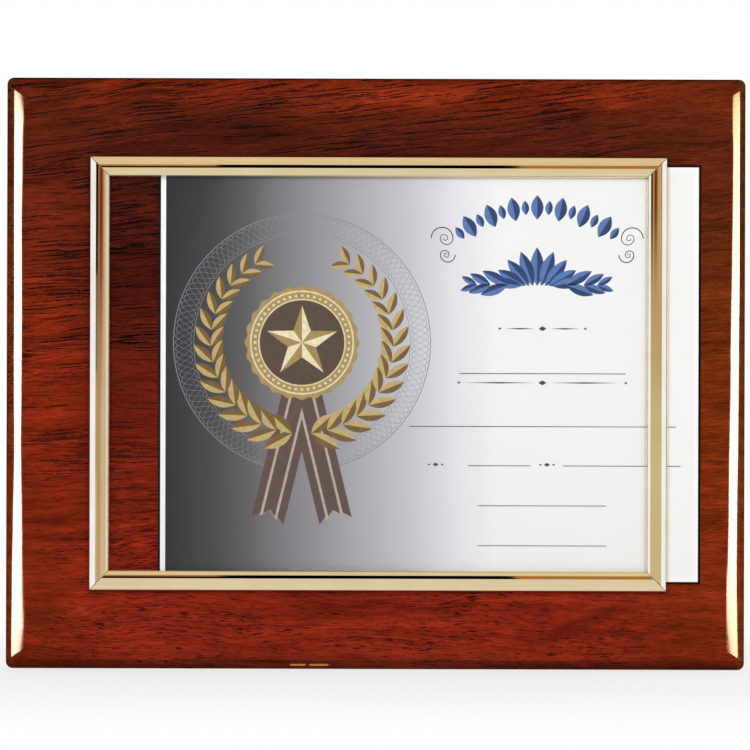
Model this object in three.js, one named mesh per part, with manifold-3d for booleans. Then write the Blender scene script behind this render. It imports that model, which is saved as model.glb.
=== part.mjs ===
// A slide-in certificate plaque: a lacquered rosewood board with a mitred frame of polished gold
// moulding on its face. Three narrow strips lift the frame off the board, and the fourth side is
// left open, so a certificate and its clear cover slide in and out under the right rail.
//
// Units are millimetres. The part hangs on a wall: +X is to the right, +Z is up, and the front
// looks along -Y. The origin is the middle of the board's back, where it meets the wall.

import * as THREE from 'three';
import { mergeVertices } from 'three/addons/utils/BufferGeometryUtils.js';
import Module from 'manifold-3d';

const wasm = await Module();
wasm.setup();

// The certificate and its clear cover
const SHEET_WIDTH = 279.4;
const SHEET_HEIGHT = 215.9;
const SHEET_THICKNESS = 0.3;
const SHEET_PULLED_OUT = 26.4; // how far the certificate stands out of its home position
const COVER_THICKNESS = 1.5;
const COVER_CORNER_RADIUS = 1.5;
const SLIDE_CLEARANCE = 0.3; // air behind, between and in front of the two sheets
const EDGE_CLEARANCE = 0.35; // air between the sheets' long edges and the strips beside them
const STOP_CLEARANCE = 0.3; // air between a sheet that is pushed home and the stop strip

// The board
const BOARD_WIDTH = 381;
const BOARD_HEIGHT = 304.8;
const BOARD_THICKNESS = 19;
const BOARD_CORNER_RADIUS = 3.5; // of the outline, seen from the front
const FRONT_EDGE_WIDTH = 11.5; // the rounded front edge, measured across the face
const FRONT_EDGE_DEPTH = 10.5; // the same edge, measured down the side
const BACK_EDGE_RADIUS = 1;

// The gold moulding
const RAIL_WIDTH = 10.8;
const RAIL_SIDE_HEIGHT = 1.4; // the upright wall below the domed top
const RAIL_DOME_RISE = 3.2;
const SIDE_OVERLAP = 1.45; // how far the left and right rails cover a sheet that is pushed home
const LONG_OVERLAP = 6.65; // how far the top and bottom rails cover it
const FRAME_OFFSET = 1.3; // the frame's middle lies this far right of the board's
const MITRE_GAP = 0.3; // between two mitred ends, along the rail
const FRAME_CORNER_RADIUS = 1.6; // the frame's outer corners, filed round after mitring
const STRIP_SETBACK = 0.6; // the moulding overhangs its strips by this much
const STRIP_END_GAP = 0.3;

// The keys inside the mitred corners
const KEY_WIDTH = 4.2;
const KEY_THICKNESS = 1.2;
const KEY_LEG_LENGTH = 20;
const KEY_CORNER_CUT = 1.2;
const KEY_CLEARANCE = 0.3;
const CHANNEL_FLOOR = 0.9; // metal below the key's channel
const CHANNEL_INNER_WALL = 1.4; // metal between the channel and the rail's inner edge

// The screws that hold the frame, driven from the back of the board
const FRAME_SCREW_DIAMETER = 2;
const FRAME_SCREW_HEAD_DIAMETER = 4.6;
const FRAME_SCREW_HEAD_HEIGHT = 1.8;
const FRAME_SCREW_GRIP = 2.3; // the length that bites into a rail
const FRAME_SCREW_POINT = 0.8;
const SCREW_HOLE_CLEARANCE = 0.2; // round a screw's shank, on the radius
const SCREW_TIP_CLEARANCE = 0.4;
const COUNTERBORE_DIAMETER = 6.4;
const COUNTERBORE_DEPTH = 8;
const SCREWS_PER_LONG_RAIL = 4;
const SCREWS_PER_STOP = 2;
const SCREW_END_DISTANCE = 26; // from a rail's end to its first screw

// The keyholes routed into the back, for hanging the plaque on a wall screw
const KEYHOLE_ENTRY_DIAMETER = 10; // lets the screw's head in, and is the width of the undercut
const KEYHOLE_NECK_WIDTH = 5; // lets the screw's shank through
const KEYHOLE_TRAVEL = 10; // from the middle of the entry to where the screw comes to rest
const KEYHOLE_LIP = 3; // the wood that rests on the screw, behind its head
const KEYHOLE_DEPTH = 9;
const KEYHOLE_EDGE_DISTANCE = 30; // from the board's edge to where the screw comes to rest

// How finely round stretches are cut
const CORNER_STEPS = 6;
const EDGE_STEPS = 14;
const DOME_STEPS = 24;
const HOLE_STEPS = 16;
const CUT_MARGIN = 1; // how far a cutting tool reaches past the face that it cuts

// Places that follow from the sizes above. Heights are measured out from the wall.
const SLOT_HEIGHT = SHEET_THICKNESS + COVER_THICKNESS + 3 * SLIDE_CLEARANCE;
const SHEET_BACK = BOARD_THICKNESS + SLIDE_CLEARANCE;
const COVER_BACK = SHEET_BACK + SHEET_THICKNESS + SLIDE_CLEARANCE;
const RAIL_BACK = BOARD_THICKNESS + SLOT_HEIGHT;
const FRAME_WIDTH = SHEET_WIDTH + 2 * (RAIL_WIDTH - SIDE_OVERLAP);
const FRAME_HEIGHT = SHEET_HEIGHT + 2 * (RAIL_WIDTH - LONG_OVERLAP);
const STRIP_WIDTH = RAIL_WIDTH - LONG_OVERLAP - EDGE_CLEARANCE - STRIP_SETBACK;
const STOP_WIDTH = RAIL_WIDTH - SIDE_OVERLAP - STOP_CLEARANCE - STRIP_SETBACK;
const SCREW_INSET = STRIP_SETBACK + STRIP_WIDTH / 2; // from a rail's outer edge to its screws
const SCREW_HOLE_RADIUS = FRAME_SCREW_DIAMETER / 2 + SCREW_HOLE_CLEARANCE;
const SCREW_SHANK_LENGTH = BOARD_THICKNESS - COUNTERBORE_DEPTH + SLOT_HEIGHT + FRAME_SCREW_GRIP;
const CHANNEL_WIDTH = KEY_WIDTH + 2 * KEY_CLEARANCE;
const CHANNEL_HEIGHT = KEY_THICKNESS + 2 * KEY_CLEARANCE;
const KEY_INSET = RAIL_WIDTH - CHANNEL_INNER_WALL - CHANNEL_WIDTH / 2; // rail's outer edge to key

const finishes = {
  rosewood: new THREE.MeshStandardMaterial({ color: 0x7a2512, roughness: 0.12, metalness: 0 }),
  gold: new THREE.MeshStandardMaterial({ color: 0xd9bd84, roughness: 0.1, metalness: 1 }),
  strip: new THREE.MeshStandardMaterial({ color: 0x2a2422, roughness: 0.6, metalness: 0 }),
  zinc: new THREE.MeshStandardMaterial({ color: 0xb8bab8, roughness: 0.35, metalness: 1 }),
  acrylic: new THREE.MeshStandardMaterial({
    color: 0xf4f7f8, roughness: 0.03, metalness: 0, transparent: true, opacity: 0.12,
  }),
  paper: new THREE.MeshStandardMaterial({ color: 0xf6f5f1, roughness: 0.7, metalness: 0 }),
};

// Solids for cutting and joining

// A closed geometry as a solid: only positions count, and faces that shrank to a line are dropped.
function toSolid(geometry) {
  const bare = geometry.clone();
  bare.deleteAttribute('normal');
  bare.deleteAttribute('uv');
  const merged = mergeVertices(bare);
  const corners = merged.index.array;
  const kept = [];
  for (let i = 0; i < corners.length; i += 3) {
    const [a, b, c] = corners.slice(i, i + 3);
    if (a !== b && b !== c && c !== a) kept.push(a, b, c);
  }
  return new wasm.Manifold(new wasm.Mesh({
    numProp: 3,
    vertProperties: merged.getAttribute('position').array,
    triVerts: new Uint32Array(kept),
  }));
}

function toGeometry(solid) {
  const cut = solid.getMesh();
  const geometry = new THREE.BufferGeometry();
  geometry.setAttribute('position', new THREE.BufferAttribute(cut.vertProperties, 3));
  geometry.setIndex(new THREE.BufferAttribute(cut.triVerts, 1));
  geometry.computeVertexNormals();
  return geometry;
}

// A body with every tool taken out of it.
function cutAway(body, tools) {
  const cut = tools.reduce((solid, tool) => solid.subtract(toSolid(tool)), toSolid(body));
  return toGeometry(cut);
}

// Outlines and simple bodies. They are drawn face on: x right, y up, z out from the wall.

function roundedRectangle(width, height, radius) {
  const x = width / 2;
  const y = height / 2;
  const shape = new THREE.Shape();
  shape.moveTo(-x + radius, -y);
  shape.lineTo(x - radius, -y);
  shape.absarc(x - radius, -y + radius, radius, -Math.PI / 2, 0);
  shape.lineTo(x, y - radius);
  shape.absarc(x - radius, y - radius, radius, 0, Math.PI / 2);
  shape.lineTo(-x + radius, y);
  shape.absarc(-x + radius, y - radius, radius, Math.PI / 2, Math.PI);
  shape.lineTo(-x, -y + radius);
  shape.absarc(-x + radius, -y + radius, radius, Math.PI, 1.5 * Math.PI);
  return shape;
}

function rectangle(width, height) {
  const x = width / 2;
  const y = height / 2;
  return new THREE.Shape([
    new THREE.Vector2(-x, -y), new THREE.Vector2(x, -y),
    new THREE.Vector2(x, y), new THREE.Vector2(-x, y),
  ]);
}

// A slot with round ends, its long way along y.
function stadium(width, length) {
  const radius = width / 2;
  const straight = length / 2 - radius;
  const shape = new THREE.Shape();
  shape.absarc(0, straight, radius, 0, Math.PI);
  shape.absarc(0, -straight, radius, Math.PI, 2 * Math.PI);
  return shape;
}

function extrude(shape, depth, steps = CORNER_STEPS) {
  return new THREE.ExtrudeGeometry(shape, { depth, bevelEnabled: false, curveSegments: steps });
}

// A plain round tool or pin along z, from one height to another.
function roundBar(radius, from, to) {
  const bar = new THREE.CylinderGeometry(radius, radius, to - from, HOLE_STEPS);
  bar.rotateX(Math.PI / 2);
  bar.translate(0, 0, (from + to) / 2);
  return bar;
}

// A turned body: points are (radius, height along z), and start and end on the axis.
function turned(points) {
  const body = new THREE.LatheGeometry(points.map(([r, z]) => new THREE.Vector2(r, z)), HOLE_STEPS);
  body.rotateX(Math.PI / 2);
  return body;
}

function addMesh(group, name, geometry, material, [x, y, z], turn = 0) {
  const mesh = new THREE.Mesh(geometry, material);
  mesh.name = name;
  mesh.position.set(x, y, z);
  mesh.rotation.z = turn;
  group.add(mesh);
  return mesh;
}

// The board

// The outline of the board at one level, drawn in from the full outline by an inset. Where the
// inset is larger than the corner radius, the corner is a plain mitre.
function boardOutline(inset) {
  const radius = Math.max(BOARD_CORNER_RADIUS - inset, 0);
  const x = BOARD_WIDTH / 2 - inset - radius;
  const y = BOARD_HEIGHT / 2 - inset - radius;
  const centres = [[x, y], [-x, y], [-x, -y], [x, -y]];
  return centres.flatMap(([cx, cy], corner) => {
    const start = corner * Math.PI / 2;
    return Array.from({ length: CORNER_STEPS + 1 }, (_, step) => {
      const angle = start + (step / CORNER_STEPS) * (Math.PI / 2);
      return [cx + radius * Math.cos(angle), cy + radius * Math.sin(angle)];
    });
  });
}

// The section of the board's edge, from the back to the front, as (inset, height) points.
function boardEdge() {
  const edge = new THREE.Path();
  const frontStart = BOARD_THICKNESS - FRONT_EDGE_DEPTH;
  edge.absellipse(BACK_EDGE_RADIUS, BACK_EDGE_RADIUS, BACK_EDGE_RADIUS, BACK_EDGE_RADIUS,
    1.5 * Math.PI, Math.PI, true);
  edge.absellipse(FRONT_EDGE_WIDTH, frontStart, FRONT_EDGE_WIDTH, FRONT_EDGE_DEPTH,
    Math.PI, Math.PI / 2, true);
  return edge.getPoints(EDGE_STEPS / 2);
}

// Lofts the outline through every point of the edge section and closes the back and the front.
function boardBlank() {
  const levels = boardEdge();
  const outlines = levels.map((point) => boardOutline(point.x));
  const count = outlines[0].length;
  const positions = outlines.flatMap((outline, level) =>
    outline.flatMap(([x, y]) => [x, y, levels[level].y]));
  const faces = [];
  for (let level = 0; level + 1 < levels.length; level += 1) {
    for (let i = 0; i < count; i += 1) {
      const next = (i + 1) % count;
      const [a, b] = [level * count + i, level * count + next];
      faces.push(a, b, b + count, a, b + count, a + count);
    }
  }
  const lastRing = (levels.length - 1) * count;
  for (let i = 1; i + 1 < count; i += 1) {
    faces.push(0, i + 1, i);
    faces.push(lastRing, lastRing + i, lastRing + i + 1);
  }
  const blank = new THREE.BufferGeometry();
  blank.setAttribute('position', new THREE.Float32BufferAttribute(positions, 3));
  blank.setIndex(faces);
  return blank;
}

// Places along a rail for evenly spread screws, measured from the rail's middle.
function screwPlaces(length, count) {
  const span = length - 2 * SCREW_END_DISTANCE;
  return Array.from({ length: count }, (_, i) => -span / 2 + (span * i) / (count - 1));
}

// Every frame screw: its name, and its place on the board's face.
function frameScrews() {
  const along = screwPlaces(FRAME_WIDTH, SCREWS_PER_LONG_RAIL);
  const beside = screwPlaces(FRAME_HEIGHT, SCREWS_PER_STOP);
  const height = FRAME_HEIGHT / 2 - SCREW_INSET;
  const side = FRAME_WIDTH / 2 - SCREW_INSET;
  return [
    ...along.map((x, i) => [`frame_screw_top_${i + 1}`, FRAME_OFFSET + x, height]),
    ...along.map((x, i) => [`frame_screw_bottom_${i + 1}`, FRAME_OFFSET + x, -height]),
    ...beside.map((y, i) => [`frame_screw_left_${i + 1}`, FRAME_OFFSET - side, y]),
  ];
}

// The two keyholes: the first hangs the plaque upright, the second with the frame's open side up.
// Each is drawn with the middle of its entry at the origin and its neck towards +y, then turned.
const keyholes = [
  { x: 0, y: BOARD_HEIGHT / 2 - KEYHOLE_EDGE_DISTANCE - KEYHOLE_TRAVEL, turn: 0 },
  { x: BOARD_WIDTH / 2 - KEYHOLE_EDGE_DISTANCE - KEYHOLE_TRAVEL, y: 0, turn: -Math.PI / 2 },
];

// A round-ended tool from the entry to where the screw rests, between two heights.
function neckTool(width, from, to) {
  const tool = extrude(stadium(width, KEYHOLE_TRAVEL + width), to - from);
  return tool.translate(0, KEYHOLE_TRAVEL / 2, from);
}

// What is routed out for one keyhole: the entry, the neck, and the wider undercut behind its lip.
function keyholeTools({ x, y, turn }) {
  const entry = extrude(stadium(KEYHOLE_ENTRY_DIAMETER, KEYHOLE_ENTRY_DIAMETER),
    KEYHOLE_DEPTH + CUT_MARGIN).translate(0, 0, -CUT_MARGIN);
  const neck = neckTool(KEYHOLE_NECK_WIDTH, -CUT_MARGIN, KEYHOLE_DEPTH);
  const undercut = neckTool(KEYHOLE_ENTRY_DIAMETER, KEYHOLE_LIP, KEYHOLE_DEPTH);
  return [entry, neck, undercut].map((tool) => tool.rotateZ(turn).translate(x, y, 0));
}

function board() {
  const screwTools = frameScrews().flatMap(([, x, y]) => [
    roundBar(COUNTERBORE_DIAMETER / 2, -CUT_MARGIN, COUNTERBORE_DEPTH).translate(x, y, 0),
    roundBar(SCREW_HOLE_RADIUS, 0, BOARD_THICKNESS + CUT_MARGIN).translate(x, y, 0),
  ]);
  return cutAway(boardBlank(), [...screwTools, ...keyholes.flatMap(keyholeTools)]);
}

// The frame

// The moulding's section, with the outer edge at x = 0 and the window towards -x: flat below,
// upright sides, a domed top, and a channel for the corner keys.
function railSection() {
  const section = new THREE.Shape();
  section.moveTo(-RAIL_WIDTH, 0);
  section.lineTo(0, 0);
  section.lineTo(0, RAIL_SIDE_HEIGHT);
  section.absellipse(-RAIL_WIDTH / 2, RAIL_SIDE_HEIGHT, RAIL_WIDTH / 2, RAIL_DOME_RISE, 0, Math.PI);
  const channel = rectangle(CHANNEL_WIDTH, CHANNEL_HEIGHT).getPoints().map((point) =>
    point.add(new THREE.Vector2(-KEY_INSET, CHANNEL_FLOOR + CHANNEL_HEIGHT / 2)));
  section.holes.push(new THREE.Path(channel));
  return section;
}

// What is filed off a rail's tip, where the frame's outer corner is round. The corner's middle is at
// x, and the turn brings the tool from the right end of a rail to the left.
function cornerTool(x, turn) {
  const reach = FRAME_CORNER_RADIUS + CUT_MARGIN;
  const waste = new THREE.Shape();
  waste.absarc(0, 0, FRAME_CORNER_RADIUS, 0, Math.PI / 2);
  waste.lineTo(0, reach);
  waste.lineTo(reach, reach);
  waste.lineTo(reach, 0);
  const tool = extrude(waste, RAIL_SIDE_HEIGHT + RAIL_DOME_RISE + 2 * CUT_MARGIN);
  return tool.rotateZ(turn).translate(x, -FRAME_CORNER_RADIUS, -CUT_MARGIN);
}

// A length of moulding along x, with its outer edge at y = 0. Both ends are mitred by drawing each
// end back as far as it lies in from the outer edge.
function rail(length, screws) {
  const bar = extrude(railSection(), length, DOME_STEPS / 2);
  bar.translate(0, 0, -length / 2);
  const lengthways = new THREE.Matrix4().makeBasis(
    new THREE.Vector3(0, 1, 0), new THREE.Vector3(0, 0, 1), new THREE.Vector3(1, 0, 0));
  bar.applyMatrix4(lengthways);
  const position = bar.getAttribute('position');
  for (let i = 0; i < position.count; i += 1) {
    const reach = length / 2 - MITRE_GAP / 2 + position.getY(i);
    position.setX(i, Math.sign(position.getX(i)) * reach);
  }
  const holes = screws.map((x) =>
    roundBar(SCREW_HOLE_RADIUS, -CUT_MARGIN, FRAME_SCREW_GRIP + SCREW_TIP_CLEARANCE)
      .translate(x, -SCREW_INSET, 0));
  const cornerX = length / 2 - FRAME_CORNER_RADIUS;
  return cutAway(bar, [...holes, cornerTool(cornerX, 0), cornerTool(-cornerX, Math.PI / 2)]);
}

// A strip under a rail, along x, with a clearance hole for each screw.
function strip(length, width, screws, screwLine) {
  const bar = extrude(rectangle(length, width), SLOT_HEIGHT);
  const holes = screws.map((x) =>
    roundBar(SCREW_HOLE_RADIUS, -CUT_MARGIN, SLOT_HEIGHT + CUT_MARGIN).translate(x, screwLine, 0));
  return cutAway(bar, holes);
}

// An angle that lies in the channels of two rails. Its legs run along +x and -y from the corner.
function cornerKey() {
  const half = KEY_WIDTH / 2;
  const leg = new THREE.Shape();
  leg.moveTo(-half + KEY_CORNER_CUT, half);
  leg.lineTo(-half, half - KEY_CORNER_CUT);
  leg.lineTo(-half, -KEY_LEG_LENGTH);
  leg.lineTo(half, -KEY_LEG_LENGTH);
  leg.lineTo(half, -half);
  leg.lineTo(KEY_LEG_LENGTH, -half);
  leg.lineTo(KEY_LEG_LENGTH, half);
  return extrude(leg, KEY_THICKNESS);
}

// A pan-head screw that points along +z, with the underside of its head at z = 0.
function frameScrew() {
  const shank = FRAME_SCREW_DIAMETER / 2;
  const head = FRAME_SCREW_HEAD_DIAMETER / 2;
  const crown = FRAME_SCREW_HEAD_HEIGHT / 2; // half the head's height is rounded
  const dome = new THREE.EllipseCurve(0, -crown, head, crown, 1.5 * Math.PI, 2 * Math.PI);
  return turned([
    ...dome.getPoints(4).map((point) => [Math.max(point.x, 0), point.y]),
    [head, 0],
    [shank, 0],
    [shank, SCREW_SHANK_LENGTH - FRAME_SCREW_POINT],
    [0, SCREW_SHANK_LENGTH],
  ]);
}

function addFrame(group) {
  const along = screwPlaces(FRAME_WIDTH, SCREWS_PER_LONG_RAIL);
  const beside = screwPlaces(FRAME_HEIGHT, SCREWS_PER_STOP);
  const halfWidth = FRAME_WIDTH / 2;
  const halfHeight = FRAME_HEIGHT / 2;

  const frame = new THREE.Group();
  frame.position.x = FRAME_OFFSET;
  group.add(frame);

  // The rails. A screw that lies to the right on the board lies to the left on a turned rail.
  const mirrored = along.map((x) => -x);
  addMesh(frame, 'top_rail', rail(FRAME_WIDTH, along), finishes.gold,
    [0, halfHeight, RAIL_BACK]);
  addMesh(frame, 'bottom_rail', rail(FRAME_WIDTH, mirrored), finishes.gold,
    [0, -halfHeight, RAIL_BACK], Math.PI);
  addMesh(frame, 'left_rail', rail(FRAME_HEIGHT, beside), finishes.gold,
    [-halfWidth, 0, RAIL_BACK], Math.PI / 2);
  addMesh(frame, 'right_rail', rail(FRAME_HEIGHT, []), finishes.gold,
    [halfWidth, 0, RAIL_BACK], -Math.PI / 2);

  // The strips that hold three of the rails off the board
  const longLength = FRAME_WIDTH - 2 * STRIP_SETBACK;
  const stopLength = FRAME_HEIGHT - 2 * (STRIP_SETBACK + STRIP_WIDTH + STRIP_END_GAP);
  const longStrip = strip(longLength, STRIP_WIDTH, along, 0);
  const stopStrip = strip(stopLength, STOP_WIDTH, beside, STOP_WIDTH / 2 - STRIP_WIDTH / 2);
  addMesh(frame, 'top_strip', longStrip, finishes.strip, [0, halfHeight - SCREW_INSET, BOARD_THICKNESS]);
  addMesh(frame, 'bottom_strip', longStrip, finishes.strip,
    [0, -halfHeight + SCREW_INSET, BOARD_THICKNESS]);
  addMesh(frame, 'left_stop_strip', stopStrip, finishes.strip,
    [-halfWidth + STRIP_SETBACK + STOP_WIDTH / 2, 0, BOARD_THICKNESS], Math.PI / 2);

  // The keys in the four corners
  const keyX = halfWidth - KEY_INSET;
  const keyY = halfHeight - KEY_INSET;
  const keyHeight = RAIL_BACK + CHANNEL_FLOOR + KEY_CLEARANCE;
  const corners = [
    ['corner_key_top_left', -keyX, keyY, 0],
    ['corner_key_top_right', keyX, keyY, -Math.PI / 2],
    ['corner_key_bottom_right', keyX, -keyY, Math.PI],
    ['corner_key_bottom_left', -keyX, -keyY, Math.PI / 2],
  ];
  for (const [name, x, y, turn] of corners) {
    addMesh(frame, name, cornerKey(), finishes.zinc, [x, y, keyHeight], turn);
  }
}

// The whole plaque, drawn face on and then stood upright against the wall
const plaque = new THREE.Group();
const faceOn = new THREE.Group();
faceOn.rotation.x = Math.PI / 2;
plaque.add(faceOn);

addMesh(faceOn, 'rosewood_board', board(), finishes.rosewood, [0, 0, 0]);
addFrame(faceOn);
for (const [name, x, y] of frameScrews()) {
  addMesh(faceOn, name, frameScrew(), finishes.zinc, [x, y, COUNTERBORE_DEPTH]);
}
addMesh(faceOn, 'certificate', extrude(rectangle(SHEET_WIDTH, SHEET_HEIGHT), SHEET_THICKNESS),
  finishes.paper, [FRAME_OFFSET + SHEET_PULLED_OUT, 0, SHEET_BACK]);
addMesh(faceOn, 'clear_cover',
  extrude(roundedRectangle(SHEET_WIDTH, SHEET_HEIGHT, COVER_CORNER_RADIUS), COVER_THICKNESS),
  finishes.acrylic, [FRAME_OFFSET, 0, COVER_BACK]);

export default plaque;
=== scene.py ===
# %% [markdown]
# # A slide-in certificate plaque
# A lacquered rosewood board carries a mitred frame of polished gold moulding. The frame stands on three
# narrow strips, so its right side is open and a certificate with its clear cover slides in there. The
# CAD part is loaded first as a fixed frame: it gives every piece its place, and the cells below give
# the pieces their finer shapes and their finishes.

# %% Load the CAD part
import math

import bmesh
import bpy
from mathutils import Matrix, Vector


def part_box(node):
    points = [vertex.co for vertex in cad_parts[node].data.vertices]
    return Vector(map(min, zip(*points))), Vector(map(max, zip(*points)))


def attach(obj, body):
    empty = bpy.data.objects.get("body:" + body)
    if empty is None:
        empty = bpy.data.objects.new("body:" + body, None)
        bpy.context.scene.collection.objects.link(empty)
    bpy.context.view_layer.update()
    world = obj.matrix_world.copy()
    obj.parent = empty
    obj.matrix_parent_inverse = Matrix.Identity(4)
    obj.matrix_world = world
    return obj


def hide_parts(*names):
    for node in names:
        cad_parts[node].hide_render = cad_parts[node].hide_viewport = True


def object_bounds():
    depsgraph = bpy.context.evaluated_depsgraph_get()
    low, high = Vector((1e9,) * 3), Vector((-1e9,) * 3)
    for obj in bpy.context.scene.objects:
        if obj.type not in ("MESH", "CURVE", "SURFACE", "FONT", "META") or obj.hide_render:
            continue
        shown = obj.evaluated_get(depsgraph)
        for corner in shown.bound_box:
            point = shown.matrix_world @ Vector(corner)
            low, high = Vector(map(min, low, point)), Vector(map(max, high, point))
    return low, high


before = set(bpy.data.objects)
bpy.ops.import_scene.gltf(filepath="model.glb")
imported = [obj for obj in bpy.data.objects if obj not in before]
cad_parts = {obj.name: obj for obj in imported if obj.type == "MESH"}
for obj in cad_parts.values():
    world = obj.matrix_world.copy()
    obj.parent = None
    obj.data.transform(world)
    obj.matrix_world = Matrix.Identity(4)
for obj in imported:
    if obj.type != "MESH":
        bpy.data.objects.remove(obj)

MM = 0.001
QUARTER = math.pi / 2
cad_box = [list(corner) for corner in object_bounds()]
print("CAD box in mm:", [[round(value / MM, 1) for value in corner] for corner in cad_box])

# %% [markdown]
# ## The camera
# The plaque is seen square on and from far away, so its sides hardly show. A long lens at six metres
# does the same. The width of the view follows from the scale of the picture, and a sixth of a degree
# of roll sets the plaque as the picture has it.

# %% Camera
VIEW_PIXELS = 750
PIXELS_PER_MM = 1.9405
CAMERA_DISTANCE = 6.0
CAMERA_X, CAMERA_Z = -0.35 * MM, -0.6 * MM
CAMERA_ROLL = math.radians(0.17)
SENSOR_WIDTH = 36.0


def at(x, y, z):
    return Matrix.Translation((x, y, z))


def turned(angle, axis="Z"):
    return Matrix.Rotation(angle, 4, axis)


def show(name, data):
    """Puts a camera, a lamp or a mesh into the scene."""
    shown = bpy.data.objects.new(name, data)
    bpy.context.scene.collection.objects.link(shown)
    return shown


def hide(thing, *rays):
    """Keeps an object out of some kinds of rays."""
    for kind in rays:
        setattr(thing, "visible_" + kind, False)


upright = turned(QUARTER, "X")
face_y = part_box("rosewood_board")[0].y
view_width = VIEW_PIXELS / PIXELS_PER_MM * MM
lens = bpy.data.cameras.new("camera")
lens.sensor_width = SENSOR_WIDTH
lens.lens = SENSOR_WIDTH * CAMERA_DISTANCE / view_width
lens.clip_end = 100
camera = show("camera", lens)
camera.matrix_world = at(CAMERA_X, face_y - CAMERA_DISTANCE, CAMERA_Z) @ upright @ turned(CAMERA_ROLL)
bpy.context.scene.camera = camera
bpy.context.scene.view_settings.view_transform = "Standard"
print(f"lens {lens.lens:.0f} mm, view {view_width / MM:.1f} mm wide")

# %% [markdown]
# ## Small helpers for node trees
# Every finish is a tree of nodes. `put` makes a node and fills its inputs: a number or colour is set on
# the socket, and a wire is linked to it. A `Wire` is the output of a node. Reckoning with wires makes
# Math nodes, so a finish can be read like a formula. The helpers in the second cell are the few nodes
# that nearly every finish needs.

# %% Wires and nodes
class Wire:
    def __init__(self, socket):
        self.socket, self.tree = socket, socket.id_data

    def math(self, operation, *values):
        return wire(self.tree, "Math", dict(enumerate((self, *values))), operation=operation)

    def __add__(self, other):
        return self.math("ADD", other)

    def __sub__(self, other):
        return self.math("SUBTRACT", other)

    def __rsub__(self, other):
        return wire(self.tree, "Math", {0: other, 1: self}, operation="SUBTRACT")

    def __mul__(self, other):
        return self.math("MULTIPLY", other)

    def __abs__(self):
        return self.math("ABSOLUTE")

    def larger(self, other):
        return self.math("MAXIMUM", other)

    def smaller(self, other):
        return self.math("MINIMUM", other)


def fill(node, inputs):
    for name, value in inputs.items():
        if isinstance(value, Wire):
            value.tree.links.new(value.socket, node.inputs[name])
        else:
            node.inputs[name].default_value = value


def put(tree, kind, inputs=None, **settings):
    node = tree.nodes.new("ShaderNode" + kind)
    for name, value in settings.items():
        setattr(node, name, value)
    fill(node, inputs or {})
    return node


def wire(tree, kind, inputs=None, output=0, **settings):
    """Makes a node and gives one of its outputs, as a rule the first."""
    return Wire(put(tree, kind, inputs, **settings).outputs[output])


# %% Node helpers
WHITE = (1, 1, 1, 1)


def axes(vector):
    return [Wire(socket) for socket in put(vector.tree, "SeparateXYZ", {0: vector}).outputs]


def distance(vector):
    return wire(vector.tree, "VectorMath", {0: vector}, "Value", operation="LENGTH")


def spread(value, start, end, **settings):
    """0 at start and 1 at end, with an even climb between them."""
    return wire(value.tree, "MapRange", {"Value": value, "From Min": start, "From Max": end}, **settings)


def rise(value, start, end):
    """0 below start and 1 above end, with a smooth climb between them."""
    return spread(value, start, end, interpolation_type="SMOOTHSTEP")


def blend(share, first, second, how="MIX"):
    return wire(share.tree, "Mix", {0: share, 6: first, 7: second}, 2, data_type="RGBA", blend_type=how)


def noise(vector, scale, stretch=(1, 1, 1), detail=2.0, roughness=0.5):
    place = wire(vector.tree, "Mapping", {"Vector": vector, "Scale": stretch})
    return wire(vector.tree, "TexNoise", {"Vector": place, "Scale": scale, "Detail": detail,
                                          "Roughness": roughness})


def ramp(value, stops):
    node = put(value.tree, "ValToRGB", {0: value})
    elements = node.color_ramp.elements
    while len(elements) < len(stops):
        elements.new(0.5)
    for element, (position, colour) in zip(elements, stops):
        element.position = position
        element.color = (*colour, 1)
    return Wire(node.outputs[0])


def bump(height, strength, depth):
    return wire(height.tree, "Bump", {"Height": height, "Strength": strength, "Distance": depth})


def ray(tree, kind):
    return wire(tree, "LightPath", output=kind)


def seen_directly(tree):
    """1 for what the camera sees, also in a mirror or through glass, and 0 for light on its way."""
    in_mirror = ray(tree, "Is Camera Ray").larger(ray(tree, "Is Glossy Ray"))
    return in_mirror.larger(ray(tree, "Is Transmission Ray"))


def bare_material(name):
    material = bpy.data.materials.new(name)
    material.use_nodes = True
    material.node_tree.nodes.clear()
    return material, material.node_tree


def object_place(tree):
    """The point on the piece, in metres."""
    return wire(tree, "TexCoord", output="Object")


def new_finish(name):
    material, tree = bare_material(name)
    shader = put(tree, "BsdfPrincipled")
    put(tree, "OutputMaterial", {"Surface": Wire(shader.outputs[0])})
    return material, shader, object_place(tree)


# %% [markdown]
# ## Small helpers for meshes
# Every shape is made by the operators of bmesh. A few of them come again and again, so they have short
# names here. Each works on a bmesh that the caller has begun, and `to_object` ends it. Some operators
# leave points and faces in an order that changes from run to run, and `in_order` makes it a fixed one.

# %% Mesh helpers
NEAREST = 1e-7


def in_order(bm):
    verts = sorted(bm.verts, key=lambda v: [round(c / NEAREST) for c in v.co])
    number = {v: i for i, v in enumerate(verts)}
    faces = []
    for face in bm.faces:
        corners = [number[v] for v in face.verts]
        first = corners.index(min(corners))
        faces.append((corners[first:] + corners[:first], face.material_index))
    ordered = bmesh.new()
    points = [ordered.verts.new(v.co) for v in verts]
    for corners, index in sorted(faces):
        ordered.faces.new([points[i] for i in corners]).material_index = index
    ordered.normal_update()
    bm.free()
    return ordered


def to_object(name, bm, materials=()):
    mesh = bpy.data.meshes.new(name)
    bm.to_mesh(mesh)
    bm.free()
    for material in materials:
        mesh.materials.append(material)
    return show(name, mesh)


def move(bm, verts, *way):
    bmesh.ops.translate(bm, vec=way, verts=verts)


def resize(bm, verts, *factors):
    bmesh.ops.scale(bm, vec=factors, verts=verts)


def rectangle(bm, width, height, columns=1):
    verts = bmesh.ops.create_grid(bm, x_segments=columns, y_segments=1, size=0.5)["verts"]
    resize(bm, verts, width, height, 1)
    return verts


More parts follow.
